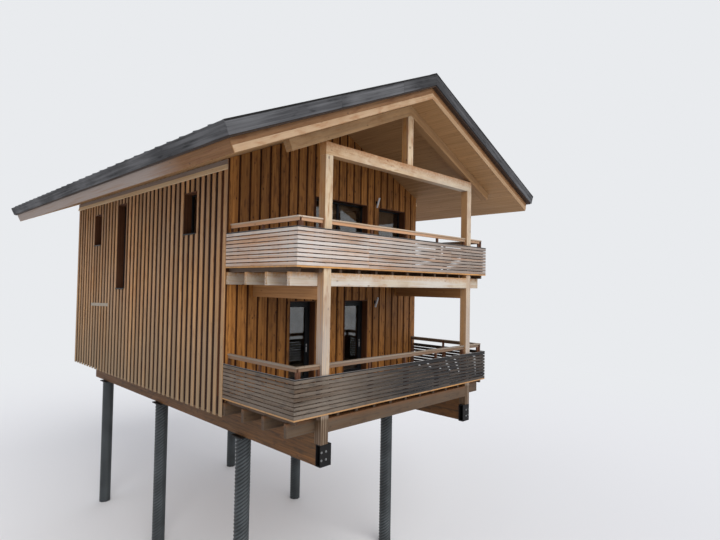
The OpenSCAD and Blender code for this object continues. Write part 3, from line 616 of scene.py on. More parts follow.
class Joinery:
    """Collects boards and bars of one piece in a mesh; each gets its own "board" value."""

    def __init__(self, name: str, bm: Optional[BMesh] = None) -> None:
        """Starts a piece with that name, empty or with a mesh."""
        self.name = name
        self.bm = bmesh.new() if bm is None else bm

    def bar(self, start: Sequence[float], end: Sequence[float]) -> list[BMVert]:
        """Adds a rectangular bar between two opposite corners and returns its vertices."""
        spans = [sorted(pair) for pair in zip(start, end)]
        verts = bmesh.ops.create_cube(self.bm, size=1.0)["verts"]
        bmesh.ops.scale(self.bm, vec=[b - a for a, b in spans], verts=verts)
        bmesh.ops.translate(self.bm, vec=[(a + b) / 2 for a, b in spans], verts=verts)
        return verts

    def surround(self, box: Box, width: float, depth: Span, wide: int = 0) -> None:
        """Adds two upright boards and a head board inside an opening.

        Args:
            box: The opening.
            width: The boards' width, or thickness of a lining.
            depth: Their inner and outer edge.
            wide: The axis that the opening's width lies along.
        """
        low, high = box
        left, right = low[wide], high[wide]
        for a, b, foot in ((left, left + width, low.z), (right - width, right, low.z),
                           (left + width, right - width, high.z - width)):
            self.bar(spot(wide, a, depth[0], foot), spot(wide, b, depth[1], high.z))

    def rod(self, start: Sequence[float], end: Sequence[float], radius: float,
            sides: int = 24) -> list[BMVert]:
        """Adds a round or many-sided rod from start to end and returns its vertices."""
        start, end = Vector(start), Vector(end)
        axis = end - start
        verts = bmesh.ops.create_cone(self.bm, cap_ends=True, segments=sides, radius1=radius,
                                      radius2=radius, depth=axis.length)["verts"]
        turn = Vector((0, 0, 1)).rotation_difference(axis).to_matrix().to_4x4()
        bmesh.ops.transform(self.bm, matrix=Matrix.Translation((start + end) / 2) @ turn,
                            verts=verts)
        return verts

    def slope_bar(self, near: float, far: float, y: Span, drops: Span, square: bool = True,
                  both: bool = False) -> list[BMVert]:
        """Adds a bar that runs down one slope of the roof.

        Args:
            near: Its upper end, level from the ridge, negative on the left slope.
            far: Where the line of its lower end leaves the roof's top.
            y: Its front and rear face.
            drops: Upright distances of its top and underside below the roof's top.
            square: Whether the lower end is cut square to the slope.
            both: Whether the upper end is cut so too.

        Returns:
            The bar's vertices.
        """
        verts = self.bar((AT.ridge_x + near, y[0], AT.ridge_z - drops[1]),
                         (AT.ridge_x + far, y[1], AT.ridge_z - drops[0]))
        lean = math.copysign(math.sin(PITCH) * math.cos(PITCH), far) if square else 0.0
        for vert in verts:
            if both or abs(vert.co.x - AT.ridge_x - far) < TOUCH:
                vert.co.x -= lean * (AT.ridge_z - vert.co.z)
            vert.co.z -= SLOPE * abs(vert.co.x - AT.ridge_x)
        return verts

    def paint(self, verts: Iterable[BMVert], index: int) -> None:
        """Gives the faces of some vertices a material index."""
        for face in {f for v in verts for f in v.link_faces}:
            face.material_index = index

    def shade(self, index: int, upward: bool = False) -> None:
        """Gives the faces that look down, or up, a material index."""
        self.bm.normal_update()
        for face in self.bm.faces:
            if (face.normal.z if upward else -face.normal.z) > 0.5:
                face.material_index = index

    def ease(self, width: float, seed: Optional[int] = None, segments: int = 1) -> None:
        """Takes the sharpness off the edges and, with a seed, draws each part's board value."""
        sharp = [e for e in self.bm.edges
                 if len(e.link_faces) == 2 and e.calc_face_angle() > SHARP]
        bmesh.ops.bevel(self.bm, geom=sharp, offset=width, segments=segments, profile=0.5,
                        affect="EDGES", material=-1, clamp_overlap=True)
        if seed is None:
            return
        layer = self.bm.verts.layers.float.new("board")
        draw = random.Random(seed)
        for part in loose_parts(self.bm):
            value = draw.random()
            for vert in part:
                vert[layer] = value

    def piece(self, slot: str, finishes: Sequence[Finish], body: str = HOUSE,
              stands_for: Sequence[str] = (), smooth: bool = False) -> Object:
        """Turns the mesh into a piece of the house.

        Args:
            slot: The record's material slot; not used.
            finishes: Its finishes, by face index.
            body: The body that it rides on.
            stands_for: Nodes that it replaces.
            smooth: Whether its faces are shaded smooth.

        Returns:
            The new object.
        """
        mesh = bpy.data.meshes.new(self.name)
        weather = self.bm.faces.layers.float.new("weather")
        self.bm.normal_update()
        for face in self.bm.faces:
            face.smooth = smooth
            face[weather] = min(1.0, max(0.0, -face.normal.y) + max(0.0, face.normal.z))
        self.bm.to_mesh(mesh)
        self.bm.free()
        made = bpy.data.objects.new(self.name, mesh)
        bpy.context.scene.collection.objects.link(made)
        for finish in finishes:
            mesh.materials.append(finish.build())
        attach(made, body)
        if stands_for:
            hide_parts(*stands_for)
        LOG.info("%s: %d faces", self.name, len(mesh.polygons))
        return made


def merged_copy(node: str) -> BMesh:
    """Copies a node's mesh with its loose triangles joined into plain faces."""
    bm = bmesh.new()
    bm.from_mesh(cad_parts[node].data)
    bmesh.ops.remove_doubles(bm, verts=bm.verts[:], dist=MERGE)
    bmesh.ops.dissolve_limit(bm, angle_limit=FLAT, verts=bm.verts[:], edges=bm.edges[:])
    return bm


def islands(node: str) -> list[Box]:
    """Gives the box of each separate solid of a node, from left to right and low to high."""
    bm = merged_copy(node)
    boxes = [tuple(Vector([pick(v.co[i] for v in part) for i in range(3)])
                   for pick in (min, max)) for part in loose_parts(bm)]
    bm.free()
    return sorted(boxes, key=lambda box: tuple(round(c, 3) for c in box[0]))


def outlines(boxes: Iterable[Box], wide: int = 0) -> list[Outline]:
    """Gives two edges, foot and top of each box, as seen along the other level axis."""
    return [(low[wide], high[wide], low.z, high.z) for low, high in boxes]


def eased_node(node: str, slot: str, finish: Finish, width: float, body: str = HOUSE,
               seed: int = 1, edges: Optional[Finish] = None) -> None:
    """Replaces a node by its own shape with eased edges.

    Args:
        node: The node's name.
        slot: The record's material slot.
        finish: The finish.
        width: Width of the eased edge.
        body: The body that it rides on.
        seed: Start of the random board values.
        edges: Finish of the faces that look down, if it is another.
    """
    work = Joinery(node + "_eased", merged_copy(node))
    work.ease(width, seed)
    # Faces that look down take the second finish; on the slats it is painted shade
    if edges:
        work.shade(1)
    work.piece(slot, [finish, edges] if edges else [finish], body, [node])


def dress(finish: Finish, *nodes: str) -> None:
    """Gives nodes of the frame a finish."""
    for node in nodes:
        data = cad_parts[node].data
        data.materials.clear()
        data.materials.append(finish.build())


def free_spans(low: float, high: float, blocks: Iterable[Span]) -> list[Span]:
    """Gives the parts of a span that no block covers, without very short ones."""
    spans = [(low, high)]
    for start, end in blocks:
        cut = []
        for a, b in spans:
            if end <= a or start >= b:
                cut.append((a, b))
                continue
            if start > a:
                cut.append((a, start))
            if end < b:
                cut.append((end, b))
        spans = cut
    return [s for s in spans if s[1] - s[0] > SHORTEST]


def notched(width: Span, height: Span, holes: Iterable[Outline]) -> list[Outline]:
    """Cuts an upright board round openings.

    Args:
        width: The board's two edges.
        height: Its foot and its top.
        holes: Two edges, foot and top of each opening.

    Returns:
        Two edges, foot and top of each part that is left.
    """
    near = [h for h in holes if h[0] < width[1] and h[1] > width[0]]
    levels = {z for h in near for z in h[2:] if height[0] < z < height[1]}
    marks = sorted(levels | set(height))
    parts = []
    for z0, z1 in zip(marks, marks[1:]):
        blocks = [h[:2] for h in near if h[2] < (z0 + z1) / 2 < h[3]]
        parts += [(a, b, z0, z1) for a, b in free_spans(*width, blocks)]
    return parts


# Sub-assemblies


@dataclass
class Assembly:
    """One part of the house, dressed on its own."""

    finishes: Finishes


@dataclass
class Foundation(Assembly):
    """Ribbed piles, plates, beams and shoes."""

    rib_pitch: float = 0.095
    rib_starts: int = 8
    rib_sides: int = 6
    rib_depth: float = 0.018
    ring_rise: float = 0.04
    bolt_inset: float = 0.035
    # Reach down, radius and sides of a plate bolt's head and washer
    plate_rods: tuple[tuple[float, float, int], ...] = ((0.014, 0.016, 6), (0.003, 0.024, 16))
    # Reach out, reach in, radius and sides of a shoe bolt's washer and head
    shoe_rods: tuple[tuple[float, float, float, int], ...] = ((0.006, 0.002, 0.025, 20),
                                                              (0.02, -0.005, 0.016, 6))
    shoe_bolt_x: float = 0.06
    shoe_bolt_gap: float = 0.065
    shoe_bolt_z: Span = (0.15, 0.32)

    def build(self) -> None:
        """Builds all pieces of the foundation."""
        f = self.finishes
        self.piles()
        self.plate_bolts()
        dress(f.black_steel, "pile_plates")
        eased_node("foundation_beams", "stained_glulam", f.stained, HEAVY_EDGE)
        eased_node("post_shoes", "black_steel", f.black_steel, FINE_EDGE)
        self.shoe_bolts()

    def piles(self) -> None:
        """Builds tubes with ribs that climb round them side by side, as spiral pipe is rolled."""
        work = Joinery("ribbed_piles")
        valley = work.bm.verts.layers.float.new("valley")
        for low, high in islands("piles"):
            radius = (high.x - low.x) / 2
            ring = bmesh.ops.create_circle(work.bm, cap_ends=True, radius=radius,
                                           segments=self.rib_starts * self.rib_sides)["verts"]
            for vert in ring:
                turn = math.atan2(vert.co.y, vert.co.x) * self.rib_starts
                vert[valley] = (1 - math.cos(turn)) / 2
                vert.co *= 1 - self.rib_depth / radius * vert[valley]
            centre = Vector(((low.x + high.x) / 2, (low.y + high.y) / 2, low.z))
            bmesh.ops.translate(work.bm, vec=centre, verts=ring)
            # A dict keeps the order, so that each run gives the same mesh
            edges = list(dict.fromkeys(e for v in ring for e in v.link_edges))
            count = round((high.z - low.z) / self.ring_rise)
            rise = (high.z - low.z) / count
            twist = Matrix.Rotation(math.tau * rise / (self.rib_pitch * self.rib_starts), 3, "Z")
            for _ in range(count):
                made = bmesh.ops.extrude_edge_only(work.bm, edges=edges)["geom"]
                ring = [g for g in made if isinstance(g, BMVert)]
                edges = [g for g in made if isinstance(g, BMEdge)]
                bmesh.ops.translate(work.bm, vec=(0, 0, rise), verts=ring)
                bmesh.ops.rotate(work.bm, cent=centre, matrix=twist, verts=ring)
            bmesh.ops.contextual_create(work.bm, geom=edges)
        bmesh.ops.recalc_face_normals(work.bm, faces=work.bm.faces[:])
        work.piece("corrugated_pile_steel", [self.finishes.zinc], stands_for=["piles"],
                   smooth=True)

    def plate_bolts(self) -> None:
        """Sets four hexagon bolts in the free corners under each pile plate."""
        work = Joinery("plate_bolts")
        inset = self.bolt_inset
        for low, high in islands("pile_plates"):
            for x in (low.x + inset, high.x - inset):
                for y in (low.y + inset, high.y - inset):
                    for depth, radius, sides in self.plate_rods:
                        work.rod((x, y, low.z - depth), (x, y, low.z + JOINT), radius, sides)
        work.piece("black_steel", [self.finishes.bolt_steel])

    def shoe_bolts(self) -> None:
        """Sets four bright bolts with washers on the front of each shoe."""
        work = Joinery("shoe_bolts")
        for low, high in islands("post_shoes"):
            middle = (low.x + high.x) / 2
            x = middle + math.copysign(self.shoe_bolt_x, middle - AT.ridge_x)
            for z in (low.z + rise for rise in self.shoe_bolt_z):
                for at in (x - self.shoe_bolt_gap, x + self.shoe_bolt_gap):
                    for proud, sunk, radius, sides in self.shoe_rods:
                        work.rod((at, low.y - proud, z), (at, low.y + sunk, z), radius, sides)
        work.ease(FINE_EDGE)
        work.piece("black_steel", [self.finishes.bolt_steel])


@dataclass
class OpenFrame(Assembly):
    """Posts, tie beam, king post and rafters in front of the gable."""

    def build(self) -> None:
        """Eases all timbers."""
        f = self.finishes
        for node, slot, finish, width in (
                ("front_posts", "spruce_glulam", f.spruce_post, HEAVY_EDGE),
                ("tie_beam", "spruce_glulam", f.spruce_beam, HEAVY_EDGE),
                ("king_post", "spruce_glulam", f.spruce_post, HEAVY_EDGE),
                ("frame_rafters", "spruce_rafter", f.spruce_rafter, HEAVY_EDGE),
                ("side_beams", "spruce_rafter", f.side_beam, BEAM_EDGE)):
            eased_node(node, slot, finish, width)
        dress(f.gable_trim, "wall_plates")


@dataclass
class Walls(Assembly):
    """Walls: base boards painted dark as shade, cover boards, linings round openings, trims."""

    cover_width: float = 0.142
    cover_pitch: float = 0.283
    cover_depth: float = 0.025
    cover_hang: float = 0.04
    front_pitch: float = 0.3067
    front_gap: float = 0.066
    front_gap_x: float = 0.64
    front_depth: float = 0.024
    lining: float = 0.022
    lining_lip: float = 0.004
    sill_fall: float = 0.02
    sill_drop: float = 0.03
    sill_sheet: float = 0.003
    sill_depth: float = 0.004
    side_nose: float = 0.035
    rear_nose: float = 0.034
    wall_zone: float = 0.4
    trim_rows: tuple[tuple[int, float, float], ...] = ((0, 0.022, 0.12), (1, 0.033, 0.06),
                                                       (1, 0.044, 0.06))
    trim_gap: float = 0.003
    plate_place: Span = (7.805, 1.85)
    plate_size: Span = (1.76, 0.11)
    plate_sheet: float = 0.004
    plate_edge: float = 0.001
    plate_screws: tuple[float, ...] = (0.06, 0.88, 1.70)
    screw_size: Span = (0.007, 0.009)
    plate_tilt: float = math.radians(-1.5)

    def build(self) -> None:
        """Builds cladding, linings, trims and the floors' finishes."""
        f = self.finishes
        # The base boards' dark colours are painted shade
        dress(f.wall_core, "left_wall", "right_wall", "rear_wall")
        dress(f.front_core, "lower_front_piers", "upper_front_wall", "gable_rafters")
        dress(f.floor, "ground_floor", "upper_floor")
        windows = islands("window_frames")
        left = [b for b in windows if b[1].x < AT.left_x + self.wall_zone]
        right = [b for b in windows if b[0].x > AT.right_x - self.wall_zone]
        rear = [b for b in windows if b not in left + right]
        rear.append(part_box("entrance_door"))
        self.side_covers("left_cover_boards", left, -1)
        self.side_covers("right_cover_boards", right, 1)
        self.rear_covers(rear)
        self.front_boards()
        self.recesses("side_window_linings", "side_window_sills", 31, self.side_nose,
                      [(b, 1, b[0].x, AT.left_x, -1) for b in left]
                      + [(b, 1, b[1].x, AT.right_x, 1) for b in right])
        self.recesses("rear_linings", "rear_sills", 37, self.rear_nose,
                      [(b, 0, b[1].y, AT.rear_y, 1) for b in rear])
        self.top_trims()
        self.bare_plate()

    def cover_places(self, start: float, end: float) -> list[float]:
        """Gives the near edges of evenly spaced cover boards."""
        run = end - start - self.cover_width
        count = round(run / self.cover_pitch)
        return [start + i * run / count for i in range(count + 1)]

    def side_covers(self, name: str, windows: Sequence[Box], side: int) -> None:
        """Stands the cover boards of a long wall, notched round its windows."""
        work = Joinery(name)
        face = AT.left_x if side < 0 else AT.right_x
        outer = face + side * self.cover_depth
        height = AT.wall_foot - self.cover_hang, AT.soffit(outer) - CLEAR
        holes = outlines(windows, 1)
        for y in self.cover_places(AT.front_y, AT.rear_y + self.cover_depth):
            for y0, y1, z0, z1 in notched((y, y + self.cover_width), height, holes):
                work.bar((face, y0, z0), (outer, y1, z1))
        work.ease(EDGE, 11 + side)
        work.piece("larch_battens", [self.finishes.larch_cover])

    def rear_covers(self, openings: Sequence[Box]) -> None:
        """Stands the cover boards of the rear wall up to the soffit."""
        work = Joinery("rear_cover_boards")
        holes = outlines(openings)
        for x in self.cover_places(AT.left_x, AT.right_x):
            self.gable_board(work, (x, x + self.cover_width), AT.wall_foot - self.cover_hang,
                             (AT.rear_y, AT.rear_y + self.cover_depth), holes)
        work.ease(EDGE, 17)
        work.piece("larch_battens", [self.finishes.larch_cover])

    @staticmethod
    def gable_board(work: Joinery, width: Span, foot: float, y: Span,
                    holes: Sequence[Outline]) -> None:
        """Stands one board that ends under the slope of the roof."""
        peak = width[0] < AT.ridge_x < width[1]
        top = AT.soffit(AT.ridge_x) if peak else max(map(AT.soffit, width))
        for x0, x1, z0, z1 in notched(width, (foot, top), holes):
            for vert in work.bar((x0, y[0], z0), (x1, y[1], z1)):
                if z1 == top and vert.co.z > z1 - TOUCH:
                    vert.co.z = AT.soffit(vert.co.x) - CLEAR

    def front_boards(self) -> None:
        """Stands the wide boards of the front wall, and lines its doors' reveals."""
        work = Joinery("front_boards")
        doors = islands("lower_door_frames") + islands("upper_door_frames")
        start, end = AT.left_x - self.cover_depth, AT.right_x + self.cover_depth
        beams_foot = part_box("upper_balcony_beams")[0].z
        holes = [*outlines(doors), (start, end, beams_foot, AT.upper_floor)]
        first = AT.ridge_x + self.front_gap_x
        first -= self.front_pitch * int((first - start) / self.front_pitch)
        gaps = []
        while first < end:
            gaps.append((first - self.front_gap / 2, first + self.front_gap / 2))
            first += self.front_pitch
        # A saw cut at the ridge, where the board's top turns down
        gaps.append((AT.ridge_x - JOINT / 2, AT.ridge_x + JOINT / 2))
        face = AT.front_y - self.front_depth
        for span in free_spans(start, end, gaps):
            self.gable_board(work, span, AT.lower_floor, (face, AT.front_y), holes)
        work.ease(EDGE, 23)
        work.piece("larch_boards", [self.finishes.larch_board])
        linings = Joinery("door_linings")
        for box in doors:
            linings.surround(box, self.lining, (face - CLEAR, box[0].y))
        linings.ease(FINE_EDGE, 29)
        linings.piece("larch_boards", [self.finishes.larch_reveal])

    def recesses(self, lining_name: str, sill_name: str, seed: int, nose: float,
                 openings: Sequence[tuple[Box, int, float, float, int]]) -> None:
        """Lines recesses of openings, with a folded sill in each.

        Args:
            lining_name: Name of the piece of lining boards.
            sill_name: Name of the piece of sills.
            seed: Start of the linings' random board values.
            nose: Reach of a sill past the cover boards.
            openings: The box of each, the axis of its width, the frame's outer face, the
                wall's outer face and which way out is.
        """
        work, sills = Joinery(lining_name), Joinery(sill_name)
        t = self.lining
        for box, wide, near, wall, out in openings:
            face = wall + out * self.cover_depth
            work.surround(box, t, (near, face + out * self.lining_lip), wide)
            edge = face + out * nose
            a, b, foot = box[0][wide] + t, box[1][wide] - t, box[0].z
            for vert in sills.bar(spot(wide, a, near, foot),
                                  spot(wide, b, edge, foot + self.sill_depth)):
                if abs(vert.co[1 - wide] - near) < TOUCH:
                    vert.co.z += self.sill_fall
            sills.bar(spot(wide, a, edge, foot - self.sill_drop),
                      spot(wide, b, edge - out * self.sill_sheet, foot + self.sill_depth / 2))
        work.ease(FINE_EDGE, seed)
        work.piece("larch_battens", [self.finishes.larch_reveal])
        sills.piece("anthracite_frame", [self.finishes.anthracite])

    def top_trims(self) -> None:
        """Runs a greyed and two pale boards along each long wall's top, each further out."""
        work = Joinery("wall_top_trims")
        for side, wall in ((-1, AT.left_x), (1, AT.right_x)):
            face = wall + side * self.cover_depth
            outer = face + side * self.trim_rows[-1][1]
            top = AT.soffit(outer) - self.trim_gap
            for index, depth, height in self.trim_rows:
                work.paint(work.bar((face, AT.front_y - self.front_depth, top - height),
                                    (face + side * depth, AT.rear_y + self.cover_depth, top)),
                           index)
                top -= height + self.trim_gap
        work.ease(SMALL_EDGE, 41)
        work.piece("spruce_rafter", [self.finishes.eave_board, self.finishes.gable_trim])

    def bare_plate(self) -> None:
        """Fixes a plain pale plate to the battens of the left wall, slightly tilted."""
        work = Joinery("bare_plate")
        length, height = self.plate_size
        y, z = AT.front_y + self.plate_place[0], AT.lower_floor + self.plate_place[1]
        face = AT.left_x - self.cover_depth
        middle = z + height / 2
        proud, radius = self.screw_size
        work.bar((face - self.plate_sheet, y, z), (face, y + length, z + height))
        for at in self.plate_screws:
            work.rod((face - proud, y + at, middle), (face, y + at, middle), radius, 12)
        work.ease(self.plate_edge)
        bmesh.ops.rotate(work.bm, cent=(face, y + length / 2, middle), verts=work.bm.verts[:],
                         matrix=Matrix.Rotation(self.plate_tilt, 3, "X"))
        work.piece("larch_battens", [self.finishes.pale_plate])


@dataclass
class Balcony(Assembly):
    """One balcony: beams, joists, deck boards, slats and handrail."""

    upper: bool
    board_width: float = 0.14
    board_gap: float = 0.006
    narrowest: float = 0.02
    joint_places: Span = (-1.544, 1.822)
    cap_height: float = 0.026
    cap_sheet: float = 0.006
    rail_inset: float = 0.07
    rail_width: float = 0.09
    rail_thickness: float = 0.034
    apron_lip: float = 0.02
    apron_height: float = 0.075
    post_width: float = 0.056
    # Posts of the front's long run and short runs, and of a side
    post_counts: tuple[int, int, int] = (5, 2, 3)
    long_run: float = 3.0

    @property
    def prefix(self) -> str:
        """First word of the storey's nodes."""
        return "upper" if self.upper else "lower"

    def build(self) -> None:
        """Builds the pieces of this balcony."""
        f = self.finishes
        # The lower beam's finish is painted shade
        beam = f.bleached_upper if self.upper else f.shaded_glulam_lower
        eased_node(self.prefix + "_balcony_beams", "spruce_glulam", beam, BEAM_EDGE, seed=3)
        eased_node(self.prefix + "_joists", "joist_spruce", f.joist, EDGE, seed=4)
        self.deck_boards()
        self.slats()
        self.slat_cap()
        self.handrail()

    def deck_boards(self) -> None:
        """Lays deck boards across the house, with a batten along each free edge."""
        work = Joinery(self.prefix + "_deck_boards")
        low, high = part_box(self.prefix + "_deck")
        posts = islands("front_posts")
        first = posts[0][0].y
        edge = first - low.y
        for x, inward in ((low.x, 1), (high.x, -1)):
            work.bar((x, first, low.z), (x + inward * edge, high.y, high.z))
        work.bar(low, (high.x, first - JOINT, high.z))
        y = first + 2 * JOINT
        while y < high.y - self.narrowest:
            y1 = min(y + self.board_width, high.y)
            blocks = [(p[0].x, p[1].x) for p in posts if y < p[1].y]
            for x0, x1 in free_spans(low.x + edge + JOINT, high.x - edge - JOINT, blocks):
                work.bar((x0, y, low.z), (x1, y1, high.z))
            y = y1 + self.board_gap
        work.ease(EDGE, 43 + self.upper)
        work.shade(1, True)
        work.piece("deck_larch", [self.finishes.deck_edge, self.finishes.deck_top],
                   stands_for=[self.prefix + "_deck"])

    def slats(self) -> None:
        """Cuts each front slat in three, and gives every piece its own tone."""
        f = self.finishes
        slot = "pale_larch_slats" if self.upper else "grey_larch_slats"
        front = Joinery(self.prefix + "_front_slat_boards")
        joints = [AT.ridge_x + x for x in self.joint_places]
        for low, high in islands(self.prefix + "_front_slats"):
            marks = [low.x, *joints, high.x]
            for x0, x1 in zip(marks, marks[1:]):
                front.bar((x0 + JOINT, low.y, low.z), (x1 - JOINT, high.y, high.z))
        front.ease(EDGE, 47 + self.upper)
        # The slats' undersides take painted shade, dark as the gaps between them
        front.shade(1)
        front.piece(slot, [f.slats(Grain.ACROSS, self.upper), f.slat_shade],
                    stands_for=[self.prefix + "_front_slats"])
        # The side slats' undersides take the same painted shade
        for side in ("left", "right"):
            eased_node(f"{self.prefix}_{side}_slats", slot, f.slats(Grain.ALONG, self.upper),
                       EDGE, seed=53 + self.upper, edges=f.slat_shade)

    def slat_cap(self) -> None:
        """Puts a dark strip, partly painted shade, with a folded sheet on the top slats."""
        cap = Joinery(self.prefix + "_slat_cap")
        boxes = [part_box(f"{self.prefix}_{side}_slats") for side in ("front", "left", "right")]
        seam = self.cap_height - self.cap_sheet
        for index, (foot, top) in enumerate(((0.0, seam), (seam, self.cap_height))):
            for low, high in boxes:
                cap.paint(cap.bar((low.x, low.y, high.z + foot), (high.x, high.y, high.z + top)),
                          index)
        cap.piece("black_steel", [self.finishes.black_steel, self.finishes.cap_sheet])

    def handrail(self) -> None:
        """Builds each run of handrail: flat board, apron board, posts and the slats' fins."""
        work = Joinery(self.prefix + "_handrail_boards")
        slats_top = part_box(self.prefix + "_front_slats")[1].z
        inset, lip, post = self.rail_inset, self.apron_lip, self.post_width
        for low, high in islands(self.prefix + "_handrail"):
            across = high.x - low.x > high.y - low.y
            left = low.x < AT.ridge_x
            wide = 0 if across else 1
            face, inward = (low.y, 1) if across else (low.x, 1) if left else (high.x, -1)
            length = high[wide] - low[wide]

            def part(run: Span, depth: Span, height: Span, index: int) -> None:
                """Adds one bar by its place along the run, behind the slats and in height."""
                ends = [spot(wide, low[wide] + r, face + inward * d, z)
                        for r, d, z in zip(run, depth, height)]
                work.paint(work.bar(*ends), index)

            under = high.z - self.rail_thickness
            boards = 0 if across else 2
            part((0, length), (inset, inset + self.rail_width), (under, high.z), boards)
            part((0, length), (inset + lip, inset + lip + self.rail_thickness),
                 (under - self.apron_height, under - JOINT), boards + 1)
            long, short, side = self.post_counts
            count = (long if length > self.long_run else short) if across else side
            # Posts and fins take finish 4, painted dark as shade
            for i in range(count):
                at = i * (length - post) / (count - 1)
                part((at, at + post), (inset + lip + JOINT, inset + lip + post),
                     (low.z, under - JOINT / 2), 4)
                part((at + JOINT, at + post - JOINT), (0.0, inset + lip), (low.z, slats_top), 4)
        work.ease(EDGE, 59)
        rails = [finish for grain in (Grain.ACROSS, Grain.ALONG)
                 for finish in self.finishes.rails(grain, self.upper)]
        work.piece("rail_larch", [*rails, self.finishes.post_shade],
                   stands_for=[self.prefix + "_handrail"])


@dataclass
class Roof(Assembly):
    """Panels, covering, fascias and ridge."""

    seam_pitch: float = 0.53
    seam_height: float = 0.022
    seam_width: float = 0.008
    sheet: float = 0.002
    sheet_start: float = 0.1
    sheet_hang: float = 0.015
    strip_height: float = 0.145
    edge_board: float = 0.006
    edge_strip: float = 0.02
    rake_height: float = 0.29
    rake_thickness: float = 0.03
    drip_sheet: float = 0.003
    drip_fold: float = 0.004
    drip_width: float = 0.06
    drip_height: float = 0.035
    joints_left: tuple[float, ...] = (-1.25, -3.2)
    joints_right: tuple[float, ...] = (2.35,)

    def build(self) -> None:
        """Builds the pieces of the roof."""
        f = self.finishes
        dress(f.soffit, "roof_panel_left", "roof_panel_right")
        dress(f.dark_timber, "roof_slope_left", "roof_slope_right")
        eased_node("eave_fascias", "slate_fascia", f.slate_eave, EDGE)
        self.panel_edges()
        self.covering()
        self.rake_boards()
        eased_node("ridge_cap", "dark_roofing", f.roofing, SMALL_EDGE)

    def panel_edges(self) -> None:
        """Faces the panels' edges: brown board over pale strip at the gables, one at the eaves."""
        boards, strips, ends = map(Joinery, ("panel_edge_boards", "panel_edge_strips",
                                             "panel_end_boards"))
        left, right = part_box("roof_panel_left"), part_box("roof_panel_right")
        under = AT.ridge_z - AT.soffit_z
        over = AT.ridge_z - right[1].z
        split = under - self.strip_height
        # Where the panels' square ends leave the roof's top, from the ridge
        lean = over * math.sin(PITCH) * math.cos(PITCH)
        reaches = left[0].x - AT.ridge_x - lean, right[1].x - AT.ridge_x + lean
        # The brown boards are partly painted shadow of the fascia above them
        for face, out in ((left[0].y, -1), (left[1].y, 1)):
            for reach in reaches:
                boards.slope_bar(0.0, reach, (face, face + out * self.edge_board), (over, split))
                strips.slope_bar(0.0, reach, (face, face + out * self.edge_strip),
                                 (split + JOINT, under - JOINT))
        for reach in reaches:
            ends.slope_bar(reach, reach + math.copysign(self.edge_board, reach),
                           (left[0].y, left[1].y), (over, under - JOINT), both=True)
        for work, seed, finish in ((boards, 61, self.finishes.edge_board),
                                   (strips, 62, self.finishes.edge_strip),
                                   (ends, 63, self.finishes.eave_board)):
            work.ease(EDGE, seed)
            work.piece("spruce_rafter", [finish])

    def covering(self) -> None:
        """Lays sheets with standing seams down both slopes."""
        work = Joinery("standing_seam_sheets")
        left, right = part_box("roof_slope_left"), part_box("roof_slope_right")
        y0, y1 = left[0].y, left[1].y
        count = round((y1 - y0) / self.seam_pitch)
        half = self.seam_width / 2
        for near, far in ((-self.sheet_start, left[0].x - self.sheet_hang - AT.ridge_x),
                          (self.sheet_start, right[1].x + self.sheet_hang - AT.ridge_x)):
            work.slope_bar(near, far, (y0, y1), (-JOINT - self.sheet, -JOINT), False)
            for y in (y0 + i * (y1 - y0) / count for i in range(1, count)):
                work.slope_bar(near, far, (y - half, y + half), (-self.seam_height, 0.0), False)
        work.piece("dark_roofing", [self.finishes.roofing])

    def rake_boards(self) -> None:
        """Boards the gable edges in lengths, with a black drip edge over them."""
        work, drip = Joinery("rake_boards"), Joinery("rake_drip_edges")
        low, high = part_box("rake_fascias")
        reaches = low.x - AT.ridge_x, high.x - AT.ridge_x
        for face, inward in ((low.y, 1), (high.y, -1)):
            inner, top = face + inward * self.rake_thickness, face + inward * self.drip_width
            lip = face + inward * self.drip_sheet
            for far, joints in zip(reaches, (self.joints_left, self.joints_right)):
                marks = [0.0, *joints, far]
                gap = math.copysign(JOINT, far)
                for a, b in zip(marks, marks[1:]):
                    last = b == far
                    work.slope_bar(a + gap, b if last else b - gap, (lip, inner),
                                   (self.drip_fold, self.rake_height), last)
                drip.slope_bar(0.0, far, (face, top), (-self.drip_fold, 0.0), False)
                drip.slope_bar(0.0, far, (face, lip), (0.0, self.drip_height))
        work.ease(EDGE, 67)
        work.piece("slate_fascia", [self.finishes.slate_board], stands_for=["rake_fascias"])
        drip.piece("dark_roofing", [self.finishes.black_steel])


